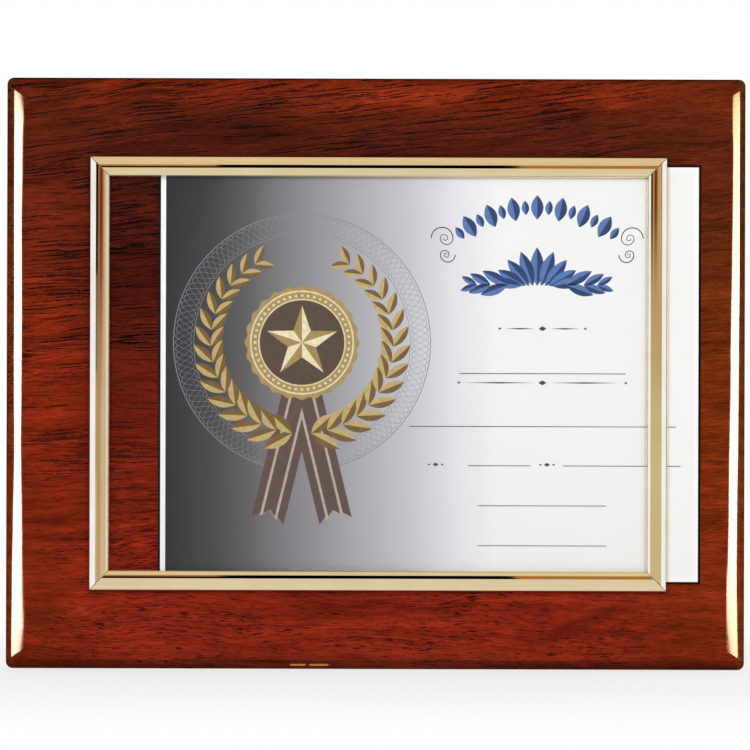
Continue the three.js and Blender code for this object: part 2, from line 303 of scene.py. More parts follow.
def block(bm, *size):
    verts = bmesh.ops.create_cube(bm, size=1)["verts"]
    resize(bm, verts, *size)
    return verts


def disc(bm, radius, segments):
    return bmesh.ops.create_circle(bm, cap_ends=True, segments=segments, radius=radius)["verts"]


def round_bar(bm, radius, start, end, segments=48):
    verts = bmesh.ops.create_cone(bm, cap_ends=True, segments=segments, radius1=radius, radius2=radius,
                                  depth=end - start)["verts"]
    move(bm, verts, 0, 0, (start + end) / 2)
    return verts


def only(kind, geom):
    return [g for g in geom if isinstance(g, kind)]


def extrude(bm, *way):
    """Draws all faces out into a solid."""
    far = bmesh.ops.extrude_face_region(bm, geom=bm.faces[:])["geom"]
    move(bm, only(bmesh.types.BMVert, far), *way)


def bevel(bm, geom, offset, segments, affect):
    return bmesh.ops.bevel(bm, geom=geom, offset=offset, offset_type="OFFSET", segments=segments,
                           profile=0.5, affect=affect, material=-1)


def face_out(bm):
    bmesh.ops.recalc_face_normals(bm, faces=bm.faces)


# %% [markdown]
# ## The studio
# The plaque stands on a pale floor in soft light from the front, with a weaker light for its back. Its
# lacquer and its gold are mirrors, so what they show matters as much as the light itself. A studio sets
# that up with cards and panels, each turned to one surface. Here light linking does the turning: a card
# or panel names the pieces that see it, and for every other piece it is a black card.

# %% World and lamps
AMBIENT = 0.3
KEY_LIGHT = 2.7
BACK_LIGHT = 1.8

world = bpy.data.worlds.new("white_studio")
bpy.context.scene.world = world
world.use_nodes = True
tree = world.node_tree
tree.nodes.clear()
soft = wire(tree, "Background", {"Color": WHITE, "Strength": AMBIENT})
white = wire(tree, "Background", {"Color": WHITE, "Strength": 1.0})
sky = wire(tree, "MixShader", {0: seen_directly(tree), 1: soft, 2: white})
put(tree, "OutputWorld", {"Surface": sky})


def soft_sun(name, strength, azimuth, elevation, width):
    """A very wide, even light from far away, as from a big diffuser. Reflections don't show it."""
    data = bpy.data.lights.new(name, "SUN")
    data.energy = strength
    data.angle = math.radians(width)
    lamp = show(name, data)
    a, e = math.radians(azimuth), math.radians(elevation)
    towards = Vector((math.sin(a) * math.cos(e), -math.cos(a) * math.cos(e), math.sin(e)))
    lamp.rotation_euler = towards.to_track_quat("Z", "Y").to_euler()
    hide(lamp, "glossy", "transmission")


soft_sun("front_light", KEY_LIGHT, azimuth=0, elevation=6, width=45)
soft_sun("back_light", BACK_LIGHT, azimuth=180, elevation=40, width=80)
print("ambient", AMBIENT, "front", KEY_LIGHT, "back", BACK_LIGHT)

# %% Floor
FLOOR_SIZE = 40
NEAR_SHARE = 0.72


def stage_plane(name, width, height, matrix, material):
    """A flat rectangle round its own origin, so that a pattern on it counts from its middle."""
    bm = bmesh.new()
    rectangle(bm, width, height)
    plane = to_object(name, bm, [material])
    plane.matrix_world = matrix
    print(f"{name} {width:.2f} x {height:.2f} m")
    return plane


floor_finish, shader, place = new_finish("pale_floor")
tree = floor_finish.node_tree
speckle = ramp(noise(place, 9.0, detail=3.0), [(0.3, (0.84, 0.84, 0.835)), (0.7, (0.87, 0.87, 0.865))])
fill(shader, {"Base Color": speckle, "Roughness": 0.9, "Specular IOR Level": 0.1})
bright = wire(tree, "Emission", {"Color": WHITE, "Strength": 1.0})
share = seen_directly(tree) * (rise(distance(place), 0.3, 1.2) * (1 - NEAR_SHARE) + NEAR_SHARE)
pale = wire(tree, "MixShader", {0: share, 1: Wire(shader.outputs[0]), 2: bright})
fill(tree.nodes["Material Output"], {"Surface": pale})
floor = stage_plane("floor", FLOOR_SIZE, FLOOR_SIZE, at(0, 0, cad_box[0][2]), floor_finish)
hide(floor, "glossy")
print("floor at", round(cad_box[0][2] / MM, 1), "mm")

# %% Cards and who sees them
CEILING = (0.71, 0.64, 0.6)
GROUND = (0.72, 0.71, 0.8)
CEILING_Z, GROUND_Z = 2.0, -1.1
ROOM_SIZE, ROOM_Y = 16, -5
BACKDROP_SIZE, BACKDROP_Y = 8, 0.06

seen_by_gold = bpy.data.collections.new("seen_by_gold")
seen_by_rail = {side: bpy.data.collections.new(f"seen_by_{side}_rail")
                for side in ("top", "bottom", "left", "right")}
seen_by_lacquer = bpy.data.collections.new("seen_by_lacquer")


def glow_material(name, clear=False):
    """A material whose colour is added by the caller. A clear one also shows what is behind it."""
    material, tree = bare_material(name)
    glow = put(tree, "Emission")
    surface = Wire(glow.outputs[0])
    if clear:
        surface = wire(tree, "AddShader", {0: surface, 1: wire(tree, "BsdfTransparent")})
    put(tree, "OutputMaterial", {"Surface": surface})
    return material, glow


def reflection_card(name, width, height, matrix, material, receivers):
    card = stage_plane(name, width, height, matrix, material)
    hide(card, "camera", "diffuse", "transmission", "shadow")
    card.light_linking.receiver_collection = receivers
    return card


for name, level, colour in (("ceiling_card", CEILING_Z, CEILING), ("ground_card", GROUND_Z, GROUND)):
    material, glow = glow_material(name)
    fill(glow, {"Color": (*colour, 1)})
    reflection_card(name, ROOM_SIZE, ROOM_SIZE, at(0, ROOM_Y, level), material, seen_by_gold)
material, glow = glow_material("backdrop_card")
fill(glow, {"Strength": 0.0})
reflection_card("backdrop_card", BACKDROP_SIZE, BACKDROP_SIZE, at(0, BACKDROP_Y, 0) @ upright, material,
                seen_by_gold)

# %% [markdown]
# Beside the plaque stand two long panels. In the lacquer each of them shows as one narrow white strip
# along the rounded edge. The strips aren't quite straight, so a table gives their outline: for a few
# heights, how far the panel reaches towards the camera and how far behind the board. It ends in soft
# golden rims, and only its first mirror image shows.

# %% Panels for the lacquer
PANEL_X = 0.19
PANEL_AWAY = 4.24
PANEL_TURN = math.radians(65)
PANEL_REACH = 0.255
PANEL_SIZE = (10.8, 3.0)
PANEL_SLANT = -0.0008
PANEL_ENDS = (0.249, 0.254)
PANEL_GLOW = 41.0
SOFT_RIM = (-0.22, 0.25)
GOLDEN_RIM = (1, 0.66, 0.26, 1)
UP = Vector((0, 0, 1))


def standing(middle, along):
    """Upright at a place, with its own x along a level direction."""
    return at(*middle) @ Matrix((along, UP, along.cross(UP))).transposed().to_4x4()


def lacquer_panel(name, side, table, tints):
    """side is -1 or 1. The panel's own x runs from near the camera to behind the board."""
    material, glow = glow_material(name)
    x, y, _ = axes(object_place(material.node_tree))
    height = spread(y, -PANEL_REACH, PANEL_REACH)
    near, far, _ = axes(ramp(height, [(0.5 + 0.5 * level, (near, far, 0)) for level, near, far in table]))
    inside = rise(x + near, *SOFT_RIM) * rise(far - x, *SOFT_RIM)
    inside = inside * (1 - rise(x * PANEL_SLANT + abs(y), *PANEL_ENDS))
    first_image = ray(material.node_tree, "Ray Depth").math("LESS_THAN", 1.5)
    fill(glow, {"Color": blend(rise(inside, 0.3, 0.98), GOLDEN_RIM, ramp(height, tints)),
                "Strength": inside * PANEL_GLOW * first_image})
    sine, cosine = math.sin(PANEL_TURN), math.cos(PANEL_TURN)
    middle = Vector((side * (PANEL_X + PANEL_AWAY * sine), -PANEL_AWAY * cosine, 0))
    reflection_card(name, *PANEL_SIZE, standing(middle, Vector((side * cosine, sine, 0))), material,
                    seen_by_lacquer)


lacquer_panel("left_strip_panel", -1, [
    (-1.0, 5.4, 2.3), (-0.91, 3.6, 2.0), (-0.76, 3.0, 1.75), (-0.61, 3.1, 1.5), (-0.46, 2.6, 1.0),
    (-0.25, 2.2, 0.6), (0.0, 2.55, 1.0), (0.28, 2.6, 0.95), (0.57, 2.34, 1.1), (0.87, 2.8, 1.1),
    (1.0, 3.7, 1.3)],
    [(0.0, (1, 0.72, 0.48)), (0.12, (1, 0.85, 0.72)), (0.28, (1, 0.98, 0.95)), (0.82, (1, 0.97, 0.9)),
     (0.94, (1, 0.84, 0.64)), (1.0, (1, 0.72, 0.5))])
lacquer_panel("right_strip_panel", 1, [
    (-1.0, 5.2, 1.8), (-0.91, 4.3, 1.2), (-0.76, 3.45, 0.8), (-0.61, 3.05, 0.85), (-0.46, 2.75, 0.95),
    (-0.3, 2.7, 1.4), (0.0, 2.1, 1.6), (0.28, 1.8, 2.05), (0.45, 1.45, 2.2), (0.8, 1.1, 2.1),
    (1.0, 1.6, 3.0)],
    [(0.0, (1, 0.72, 0.4)), (0.12, (1, 0.8, 0.6)), (0.28, (1, 0.95, 0.86)), (0.55, (1, 0.95, 0.86)),
     (0.75, (1, 0.84, 0.62)), (0.9, (1, 0.74, 0.48)), (1.0, (1, 0.58, 0.27))])

# %% [markdown]
# The upright rails see panels of their own, which stand nearer and are lamps: a lamp doesn't hide what
# is behind it. Each panel is drawn by two places on the ground plan.

# %% Panels for the gold
GOLD_PANEL_HEIGHT = 1.8
PANEL_FRONT, PANEL_BEHIND = -0.99, 0.45
BRIGHT = (0.9, 1.04, 1.8)
CREAM = (0.76, 0.74, 0.98)


def gold_lamp(name, matrix, width, height, colour, receivers):
    """A glowing rectangle that only some of the gold sees, facing along its own -z."""
    data = bpy.data.lights.new(name, "AREA")
    data.shape = "RECTANGLE"
    data.size, data.size_y = width, height
    level = max(colour)
    data.color = [c / level for c in colour]
    data.energy = level * math.pi * width * height
    lamp = show(name, data)
    lamp.matrix_world = matrix
    hide(lamp, "camera", "diffuse")
    lamp.light_linking.receiver_collection = receivers
    print(f"{name} {width:.2f} x {height:.2f} m")


def gold_panel(name, near_x, far_x, colour, side):
    """A panel from near the camera to behind the board, facing the plaque."""
    start, end = Vector((near_x, PANEL_FRONT, 0)), Vector((far_x, PANEL_BEHIND, 0))
    along = (end - start).normalized()
    if along.cross(UP).dot(start) < 0:
        along = -along
    gold_lamp(name, standing((start + end) / 2, along), (end - start).length, GOLD_PANEL_HEIGHT, colour,
              seen_by_rail[side])


gold_panel("left_gold_panel", -0.62, -2.4, BRIGHT, "left")
gold_panel("right_cream_panel", 0.93, 2.5, CREAM, "left")
gold_panel("far_gold_panel", -1.05, -2.4, BRIGHT, "right")
gold_panel("right_gold_panel", 0.77, 2.5, BRIGHT, "right")

# %% [markdown]
# The rounded lower edge mirrors what lies under the plaque and behind it. Two small golden cards there
# give it the two short glints left of its middle.

# %% Glints on the lower edge
GLINT_WAY = Vector((0, 0.24, -0.97))
GLINT_AWAY = 0.12
GLINT_HEIGHT = 36 * MM
EDGE_POINT = Vector((0, -14.6, -150.3)) * MM

material, glow = glow_material("golden_glint")
fill(glow, {"Color": (1, 0.46, 0.09, 1), "Strength": 7.0})
facing = (-GLINT_WAY).to_track_quat("Z", "Y").to_matrix().to_4x4()
for number, (x, width) in enumerate(((-40.5, 8.0), (-29.5, 10.0)), 1):
    middle = EDGE_POINT + GLINT_AWAY * GLINT_WAY + Vector((x * MM, 0, 0))
    reflection_card(f"glint_card_{number}", width * MM, GLINT_HEIGHT, at(*middle) @ facing, material,
                    seen_by_lacquer)

# %% [markdown]
# A card close to the camera's line of sight is what the crowns of the rails see. To the left rail it
# shows a dark band with warm patches across its middle, and that puts the dark lines into the gold.
# Below the band the card is tan, and above it as pale as the ceiling. Dim lamps take it further to the
# right and to the left.

# %% Card for the left rail
CARD_DISTANCE = 0.97
CARD_HEIGHT = 2.2
CARD_LEFT, CARD_RIGHT = -0.41, 0.55
LAMP_LEFT, LAMP_RIGHT = -0.62, 0.93
TAN_LEFT, TAN_RIGHT = (0.46, 0.35, 0.27, 1), (0.62, 0.55, 0.52, 1)
BAND = [
    (-0.41, (0.01, 0.006, 0.004)), (-0.37, (0.02, 0.01, 0.006)), (-0.33, (0.2, 0.065, 0.025)),
    (-0.23, (0.37, 0.18, 0.1)), (-0.17, (0.33, 0.14, 0.075)), (-0.11, (0.2, 0.055, 0.035)),
    (0.0, (0.14, 0.028, 0.016)), (0.1, (0.16, 0.035, 0.016)), (0.15, (0.25, 0.085, 0.03)),
    (0.24, (0.35, 0.15, 0.08)), (0.37, (0.46, 0.38, 0.32)), (0.48, (0.5, 0.44, 0.39)),
    (0.55, (0.58, 0.5, 0.47))]


def before_plaque(left, right, low, high, forward):
    """Upright in the plane of the card or a little before it, in the middle between four edges."""
    return at((left + right) / 2, face_y - CARD_DISTANCE + forward, (low + high) / 2) @ upright


def rail_card(material, left, right, side, forward=0.0):
    place = before_plaque(left, right, 0, 0, forward)
    return reflection_card(material.name, right - left, CARD_HEIGHT, place, material, seen_by_rail[side])


def card_lamp(name, left, right, low, high, colour, side, forward=0.0):
    gold_lamp(name, before_plaque(left, right, low, high, forward), right - left, high - low, colour,
              seen_by_rail[side])


def across_card(x, left, right, table):
    """The colours of a table, each at its own place across the card."""
    width = right - left
    stops = [((place - left) / width, colour) for place, colour in table]
    return ramp(spread(x, -width / 2, width / 2), stops)


material, glow = glow_material("front_card")
x, y, _ = axes(object_place(material.node_tree))
tan = blend(rise(x + (CARD_LEFT + CARD_RIGHT) / 2, -0.2, 0.25), TAN_LEFT, TAN_RIGHT)
below = blend(rise(y, -0.3, -0.06), (*GROUND, 1), tan)
colour = blend(rise(y, -0.05, 0.1), below, across_card(x, CARD_LEFT, CARD_RIGHT, BAND))
fill(glow, {"Color": blend(rise(y, 0.3, 0.35), colour, (*CEILING, 1))})
rail_card(material, CARD_LEFT, CARD_RIGHT, "left").visible_transmission = True
card_lamp("front_lamp", CARD_RIGHT, LAMP_RIGHT, -0.6, 0.6, (0.59, 0.5, 0.48), "left")
for number, (low, high, share) in enumerate(((-1.2, -0.06, 1.0), (-0.06, 0.0, 0.7), (0.0, 0.06, 0.35)), 1):
    dimmed = [share * c for c in (0.6, 0.56, 0.56)]
    card_lamp(f"left_lamp_{number}", LAMP_LEFT, CARD_LEFT, low, high, dimmed, "left")

# %% [markdown]
# The right rail has a clear card of its own, just before the other one. Low down it is an even gold, and
# in its upper part it has a few upright stripes: dark, gold, ruby and gold again.

# %% Card for the right rail
CLEAR_FORWARD = 0.01
STRIPES_LEFT, STRIPES_RIGHT = -1.05, 0.77
STRIPES = [
    (-1.05, (0.03, 0.025, 0.02)), (-0.52, (0.03, 0.02, 0.01)), (-0.42, (0.5, 0.36, 0.19)),
    (-0.29, (0.46, 0.3, 0.15)), (-0.2, (0.24, 0.05, 0.03)), (-0.03, (0.15, 0.02, 0.01)),
    (0.08, (0.25, 0.09, 0.025)), (0.17, (0.45, 0.3, 0.2)), (0.5, (0.55, 0.45, 0.4)),
    (0.62, (0.36, 0.28, 0.22))]

material, glow = glow_material("right_rail_card", clear=True)
x, y, _ = axes(object_place(material.node_tree))
even = blend(rise(y, -0.05, 0.03), (0.6, 0.535, 0.47, 1), (0.5, 0.41, 0.33, 1))
stripes = across_card(x, STRIPES_LEFT, STRIPES_RIGHT, STRIPES)
fill(glow, {"Color": blend(rise(y, 0.03, 0.11), even, stripes)})
rail_card(material, STRIPES_LEFT, STRIPES_RIGHT, "right", CLEAR_FORWARD)

# %% [markdown]
# The upper and the lower rail each show one dark line along their crown. To them the card itself is
# black, and lamps just before it leave only a gap dark. Near the frame's ends amber lamps fill the gap.

# %% Lines in the upper and lower rail
LINE_FORWARD = 0.02
LINE_LEFT, LINE_RIGHT = -0.095, 0.085
PALE_BELOW = (0.72, 0.7, 0.78)
AMBER = (0.42, 0.19, 0.055)

for side, low, high in (("top", -0.06, 0.28), ("bottom", 0.13, 0.66)):
    lamps = ((LAMP_LEFT, LAMP_RIGHT, -CARD_HEIGHT / 2, low, PALE_BELOW),
             (LAMP_LEFT, LAMP_RIGHT, high, CARD_HEIGHT / 2, CEILING),
             (LINE_RIGHT, LAMP_RIGHT, low, high, AMBER),
             (LAMP_LEFT, LINE_LEFT, (low + high) / 2, high, AMBER))
    for number, lamp in enumerate(lamps, 1):
        card_lamp(f"{side}_line_lamp_{number}", *lamp, side, LINE_FORWARD)

# %% [markdown]
# ## Making a piece
# A piece starts as a bmesh that is drawn face on, with x to the right, y up and z out from the wall, as
# the CAD draws it. `stand_up` turns it upright, and `make_piece` makes it an object at the origin that
# rides on a body of the frame. Holes are cut by the Boolean modifier with tools that are bmeshes too.

# %% Piece helpers
SLIVER = 0.003 * MM
SHARP = math.radians(35)


def stand_up(bm):
    bmesh.ops.transform(bm, matrix=upright, verts=bm.verts)


def cut_with(piece, tools_bm):
    """Takes the tools out of the piece for good, and closes the hairline slivers that a cut can leave."""
    tools = to_object("tools", tools_bm)
    cut = piece.modifiers.new("cut", "BOOLEAN")
    cut.operation = "DIFFERENCE"
    cut.solver = "EXACT"
    cut.object = tools
    bpy.context.view_layer.update()
    done = bpy.data.meshes.new_from_object(piece.evaluated_get(bpy.context.evaluated_depsgraph_get()))
    piece.modifiers.clear()
    old = piece.data
    piece.data = done
    bpy.data.meshes.remove(old)
    bpy.data.objects.remove(tools)
    done.name = piece.name
    bm = bmesh.new()
    bm.from_mesh(done)
    bmesh.ops.remove_doubles(bm, verts=bm.verts, dist=SLIVER)
    bmesh.ops.dissolve_degenerate(bm, edges=bm.edges, dist=SLIVER)
    bm.to_mesh(done)
    bm.free()


def shade_smooth(piece):
    """Smooth normals that lean towards the large flat faces, with true edges kept sharp."""
    bm = bmesh.new()
    bm.from_mesh(piece.data)
    for face in bm.faces:
        face.smooth = True
    for edge in bm.edges:
        edge.smooth = edge.calc_face_angle(0) < SHARP
    bm.to_mesh(piece.data)
    bm.free()
    even = piece.modifiers.new("even_normals", "WEIGHTED_NORMAL")
    even.weight = 50
    even.keep_sharp = True


def make_piece(piece, body, stands_for):
    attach(piece, body)
    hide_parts(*stands_for)
    shade_smooth(piece)
    print(piece.name, "on", body, "faces:", len(piece.data.polygons))


# %% [markdown]
# ## Rosewood
# The veneer runs across the board. Its grain is a set of long dark pores that climb a little to the
# right, shorter pores lower down, soft growth bands and a fine mottle. Stretched noise gives each of
# them: the more it is stretched along the grain, the longer the strokes. They sit in one node group,
# because the lacquered face and the plain back show the same wood.

# %% Rosewood grain
grain_group = bpy.data.node_groups.new("rosewood_grain", "ShaderNodeTree")
grain_group.interface.new_socket("Place", in_out="INPUT", socket_type="NodeSocketVector")
place = Wire(grain_group.nodes.new("NodeGroupInput").outputs["Place"])
x, y, z = axes(place)
drift = noise(place, 11.0, (1, 1, 1.6))
ripple = noise(place, 42.0, (1, 1, 1.4), detail=1.0)
bend = (drift - 0.5) * 0.012 + (ripple - 0.5) * 0.0012
level = z - x * (z * 0.5 + 0.045) + bend
along = wire(grain_group, "CombineXYZ", {0: x, 1: y, 2: level})
crowd = (noise(along, 1.0, (13, 13, 40)) - 0.5) * 0.44
grit = rise(noise(place, 1.0, (420, 620, 1500), detail=1.0), 0.26, 0.44)
strokes = noise(along, 1.0, (42, 280, 1350), detail=1.0) + crowd
dashes = noise(along, 1.0, (170, 400, 1700), detail=1.0) + crowd
features = {
    "Long Pores": rise(strokes, 0.585, 0.635) * grit,
    "Short Pores": rise(dashes, 0.625, 0.675) * grit,
    "Bands": noise(along, 1.0, (6, 20, 190), detail=4.0, roughness=0.6),
    "Mottle": noise(along, 1.0, (48, 80, 210), detail=4.0, roughness=0.65),
    "Fibre": noise(along, 1.0, (190, 600, 1800), detail=3.0, roughness=0.8),
    "Drift": drift}
for name in features:
    grain_group.interface.new_socket(name, in_out="OUTPUT", socket_type="NodeSocketFloat")
fill(grain_group.nodes.new("NodeGroupOutput"), features)


def place_grain(place):
    node = put(place.tree, "Group", node_tree=grain_group)
    fill(node, {"Place": place})
    return {socket.name: Wire(socket) for socket in node.outputs}


print("grain outputs:", [s.name for s in grain_group.interface.items_tree if s.in_out == "OUTPUT"])

# %% [markdown]
# ## High-gloss lacquer over rosewood
# The veneer isn't one colour: it is red brown along the top edge, nearly black maroon under it, and
# crimson at the bottom, with browner ends. Ramps over the height give that, and the drift of the grain
# breaks up their borders. Soft ovals make some regions darker or warmer. The lacquer is a smooth clear
# layer, so it is the shader's own reflection with very little roughness, and a faint waviness of the
# polish goes into its normal.

# %% Colours of the rosewood
MIDDLE_WOOD = [
    (0.0, (0.27, 0.03, 0.012)), (0.04, (0.25, 0.022, 0.0085)), (0.17, (0.23, 0.0198, 0.0073)),
    (0.36, (0.145, 0.014, 0.0052)), (0.6, (0.105, 0.0116, 0.005)), (0.8, (0.078, 0.011, 0.0062)),
    (0.88, (0.081, 0.012, 0.0058)), (0.94, (0.1, 0.0145, 0.0058)), (0.972, (0.195, 0.022, 0.006)),
    (1.0, (0.205, 0.023, 0.006))]
LEFT_WOOD = [
    (0.0, (0.19, 0.0205, 0.0055)), (0.27, (0.175, 0.0178, 0.005)), (0.5, (0.225, 0.0208, 0.006)),
    (0.75, (0.15, 0.0178, 0.0052)), (0.9, (0.1, 0.0143, 0.0056)), (1.0, (0.13, 0.0185, 0.0056))]
RIGHT_WOOD = [
    (0.0, (0.19, 0.022, 0.0055)), (0.27, (0.195, 0.026, 0.005)), (0.5, (0.165, 0.027, 0.005)),
    (0.75, (0.12, 0.0225, 0.0055)), (0.9, (0.1, 0.0165, 0.0055)), (1.0, (0.15, 0.0225, 0.0056))]
CRIMSON = (0.33, 0.026, 0.014, 1)
PORE = (0.009, 0.0045, 0.0042, 1)
HALF_HEIGHT = 152.4 * MM


def patch(place, x, z, reach_x, reach_z, turn=0.0):
    """A soft oval on the board's face, given in millimetres: 1 in its middle and 0 outside."""
    oval = wire(place.tree, "Mapping", {
        "Vector": place, "Location": (x * MM, 0, z * MM), "Rotation": (0, turn, 0),
        "Scale": (reach_x * MM, 10, reach_z * MM)}, vector_type="TEXTURE")
    return 1 - rise(distance(oval), 0.25, 1.0)


def tone(value, swing):
    """A factor that swings evenly round 1 as the noise swings round one half."""
    return (value * (2 * swing) + (1 - swing)).larger(0.05)


# %% Lacquered rosewood
rosewood, shader, place = new_finish("lacquered_rosewood")
x, _, z = axes(place)
grain = place_grain(place)
height = spread(z + (grain["Drift"] - 0.5) * 0.03, -HALF_HEIGHT, HALF_HEIGHT)
colour = blend(1 - rise(x, -0.175, -0.13), ramp(height, MIDDLE_WOOD), ramp(height, LEFT_WOOD))
colour = blend(rise(x, 0.11, 0.17), colour, ramp(height, RIGHT_WOOD))

busy = patch(place, -124, 46, 34, 40, 0.2)
dark = (busy + patch(place, 85, 137, 42, 9, 0.06) + patch(place, -16, -119, 55, 11)
        + patch(place, 108, -128, 40, 6, -0.42) + patch(place, -70, 126, 60, 14, 0.1))
warm = patch(place, 15, 143, 50, 8) + patch(place, -151, -121, 20, 10)
# Painted shade: the last millimetre and a half of the top edge is darkened.
head = rise(z, 0.151, HALF_HEIGHT)
factor = (tone(grain["Bands"], 0.7) * tone(grain["Mottle"], 0.6) * tone(grain["Fibre"], 1.1)
          * (dark * -0.3 + 1.0) * (warm * 0.35 + 1.06) * (head * -0.7 + 1.0))
colour = wire(place.tree, "VectorMath", {0: colour, "Scale": factor}, operation="SCALE")
lower = 1 - rise(z, -0.13, 0.02)
colour = blend(rise(grain["Mottle"], 0.48, 0.7) * lower * 0.4, colour, CRIMSON)
# Tints multiplied in near the edges. Painted sheen: the outer rim of the left and right edges gets a browner
# tint, the colour that light gives the steep part of the rounded edge.
for share, tint in ((rise(abs(x), 0.1855, 0.188), (1.0, 1.6, 1.4, 1)),
                    # Painted shade: a darker band along the lower rounded edge. Painted light: its last two
                    # millimetres are made brighter again, against the shade that the lamps give the
                    # down-turned edge.
                    (1 - rise(z, -0.1481, -0.1473), (0.6, 0.8, 0.9, 1)),
                    (1 - rise(z, -HALF_HEIGHT, -0.1506), (2.0, 2.2, 2.2, 1))):
    colour = blend(share, colour, tint, "MULTIPLY")
pores = (grain["Long Pores"] * (lower * -0.5 + 0.92)).larger(grain["Short Pores"] * (lower * 0.35 + 0.5))
calm = busy * 0.25 + (rise(x, 0.11, 0.165) * -0.5 + 1.0)
waves = noise(place, 26.0, (1, 1, 0.7), detail=1.0)
fill(shader, {"Base Color": blend((pores * calm).smaller(1.0), colour, PORE), "Roughness": 0.035,
              "IOR": 1.43, "Normal": bump(waves, 1.0, 0.1 * MM)})
print(rosewood.name, "nodes:", len(rosewood.node_tree.nodes))

# %% [markdown]
# The back is the same veneer without lacquer: stained darker and sanded. Where the router and the drill
# have been, the pressed fibre of the core shows, pale and a little fuzzy.

# %% Back and core finishes
back_finish, shader, place = new_finish("stained_back")
grain = place_grain(place)
stain = ramp(grain["Bands"], [(0.25, (0.045, 0.014, 0.008)), (0.75, (0.085, 0.026, 0.014))])
pores = grain["Long Pores"].larger(grain["Short Pores"] * 0.6)
sanding = noise(place, 1.0, (90, 200, 2600))
fill(shader, {"Base Color": blend(pores, stain, (0.02, 0.008, 0.006, 1)),
              "Roughness": sanding * 0.2 + 0.48, "Normal": bump(sanding - pores * 0.8, 0.5, 0.08 * MM)})

core_finish, shader, place = new_finish("routed_core")
fibre = noise(place, 900.0, detail=4.0, roughness=0.7)
fill(shader, {"Base Color": ramp(fibre, [(0.25, (0.2, 0.125, 0.07)), (0.75, (0.36, 0.25, 0.15))]),
              "Roughness": 0.9, "Normal": bump(fibre, 0.7, 0.2 * MM)})
print(back_finish.name, core_finish.name)

# %% [markdown]
# ## The board
# The front edge is rounded, and at the corners two rounded edges meet in a mitre that polishing has
# softened. One outline per level does that: a rectangle whose corners are bevelled, smaller and with
# tighter corners from level to level. Bridging the outlines gives the skin.

# %% Board blank
low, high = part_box("rosewood_board")
BOARD_WIDTH, BOARD_THICKNESS, BOARD_HEIGHT = high - low
CORNER_RADIUS = 3.5 * MM
CORNER_STEPS = 10
CORNER_POWER = 1.3
TIGHTEST = 0.06
EDGE_WIDTH = 11.5 * MM
EDGE_DEPTH = 10.5 * MM
EDGE_STEPS = 44
BACK_RADIUS = 1.0 * MM
BACK_STEPS = 4


def outline(bm, inset, level, radius):
    """The edges of one closed outline of the board."""
    verts = rectangle(bm, BOARD_WIDTH - 2 * inset, BOARD_HEIGHT - 2 * inset)
    move(bm, verts, 0, 0, level)
    face = bevel(bm, verts, radius, CORNER_STEPS, "VERTICES")["verts"][0].link_faces[0]
    edges = list(face.edges)
    bmesh.ops.delete(bm, geom=[face], context="FACES_ONLY")
    return edges


def board_levels():
    """(inset, level) from the back, round its small edge, up the side and round the front edge."""
    for step in range(BACK_STEPS + 1):
        angle = step / BACK_STEPS * QUARTER
        yield BACK_RADIUS * (1 - math.sin(angle)), BACK_RADIUS * (1 - math.cos(angle))
    for step in range(EDGE_STEPS + 1):
        angle = step / EDGE_STEPS * QUARTER
        yield EDGE_WIDTH * (1 - math.cos(angle)), BOARD_THICKNESS - EDGE_DEPTH * (1 - math.sin(angle))


bm = bmesh.new()
loops = []
for inset, level in board_levels():
    radius = CORNER_RADIUS * max(1 - (inset / EDGE_WIDTH) ** CORNER_POWER, TIGHTEST)
    loops.append(outline(bm, inset, level, radius))
for below, above in zip(loops, loops[1:]):
    bmesh.ops.bridge_loops(bm, edges=below + above)
back = bmesh.ops.contextual_create(bm, geom=loops[0])["faces"]
bmesh.ops.contextual_create(bm, geom=loops[-1])
face_out(bm)
for face in back:
    face.material_index = 1
stand_up(bm)
board = to_object("lacquered_board", bm, [rosewood, back_finish, core_finish])
print("board levels:", len(loops), "faces:", len(board.data.polygons))

# %% [markdown]
# Ten screws hold the frame from behind, each in a counterbore, and two keyholes hang the board: a round
# entry, a neck for the shank and a wider undercut for the head. The tools are round bars, and a neck
# draws a bar out into a round-ended one. Their faces carry the index of the core's finish, which the
# cut faces keep. Bars that cross each other are cut one after another, because a Boolean wants tools
# that don't overlap. No two of them end at the same level or have quite the same width: faces that
# coincide leave slivers.

# %% Places of the screws
FRAME_X = 1.3 * MM
FRAME_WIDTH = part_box("right_rail")[1].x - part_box("left_rail")[0].x
FRAME_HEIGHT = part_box("top_rail")[1].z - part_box("bottom_rail")[0].z
SCREW_INSET = 2.2 * MM
SCREW_END = 26.0 * MM

screws_along = [(i / 3 - 0.5) * (FRAME_WIDTH - 2 * SCREW_END) for i in range(4)]
screws_beside = [side * (FRAME_HEIGHT / 2 - SCREW_END) for side in (-1, 1)]
screw_row = FRAME_HEIGHT / 2 - SCREW_INSET
screw_column = FRAME_X - FRAME_WIDTH / 2 + SCREW_INSET
screw_places = [at(FRAME_X + x, row, 0) for row in (screw_row, -screw_row) for x in screws_along]
screw_places += [at(screw_column, y, 0) for y in screws_beside]
print("screws:", len(screw_places))

# %% Cut the board
KEYHOLE_INSET = 40 * MM
KEYHOLE_NECK = 10 * MM
HEAD_BORE, SHANK_BORE = 3.2, 1.2
SLOT, UNDERCUT, ENTRY = 2.5, 4.98, 5
CORE = 2


def board_cut(places, radius, start, end, neck=0.0):
    """Takes a bar out of the board at each place. Its radius, start and end are in millimetres."""
    bm = bmesh.new()
    for place in places:
        verts = round_bar(bm, radius * MM, start * MM, end * MM)
        move(bm, [v for v in verts if v.co.y > 1e-6], 0, neck, 0)
        bmesh.ops.transform(bm, matrix=place, verts=verts)
    for face in bm.faces:
        face.material_index = CORE
    stand_up(bm)
    cut_with(board, bm)


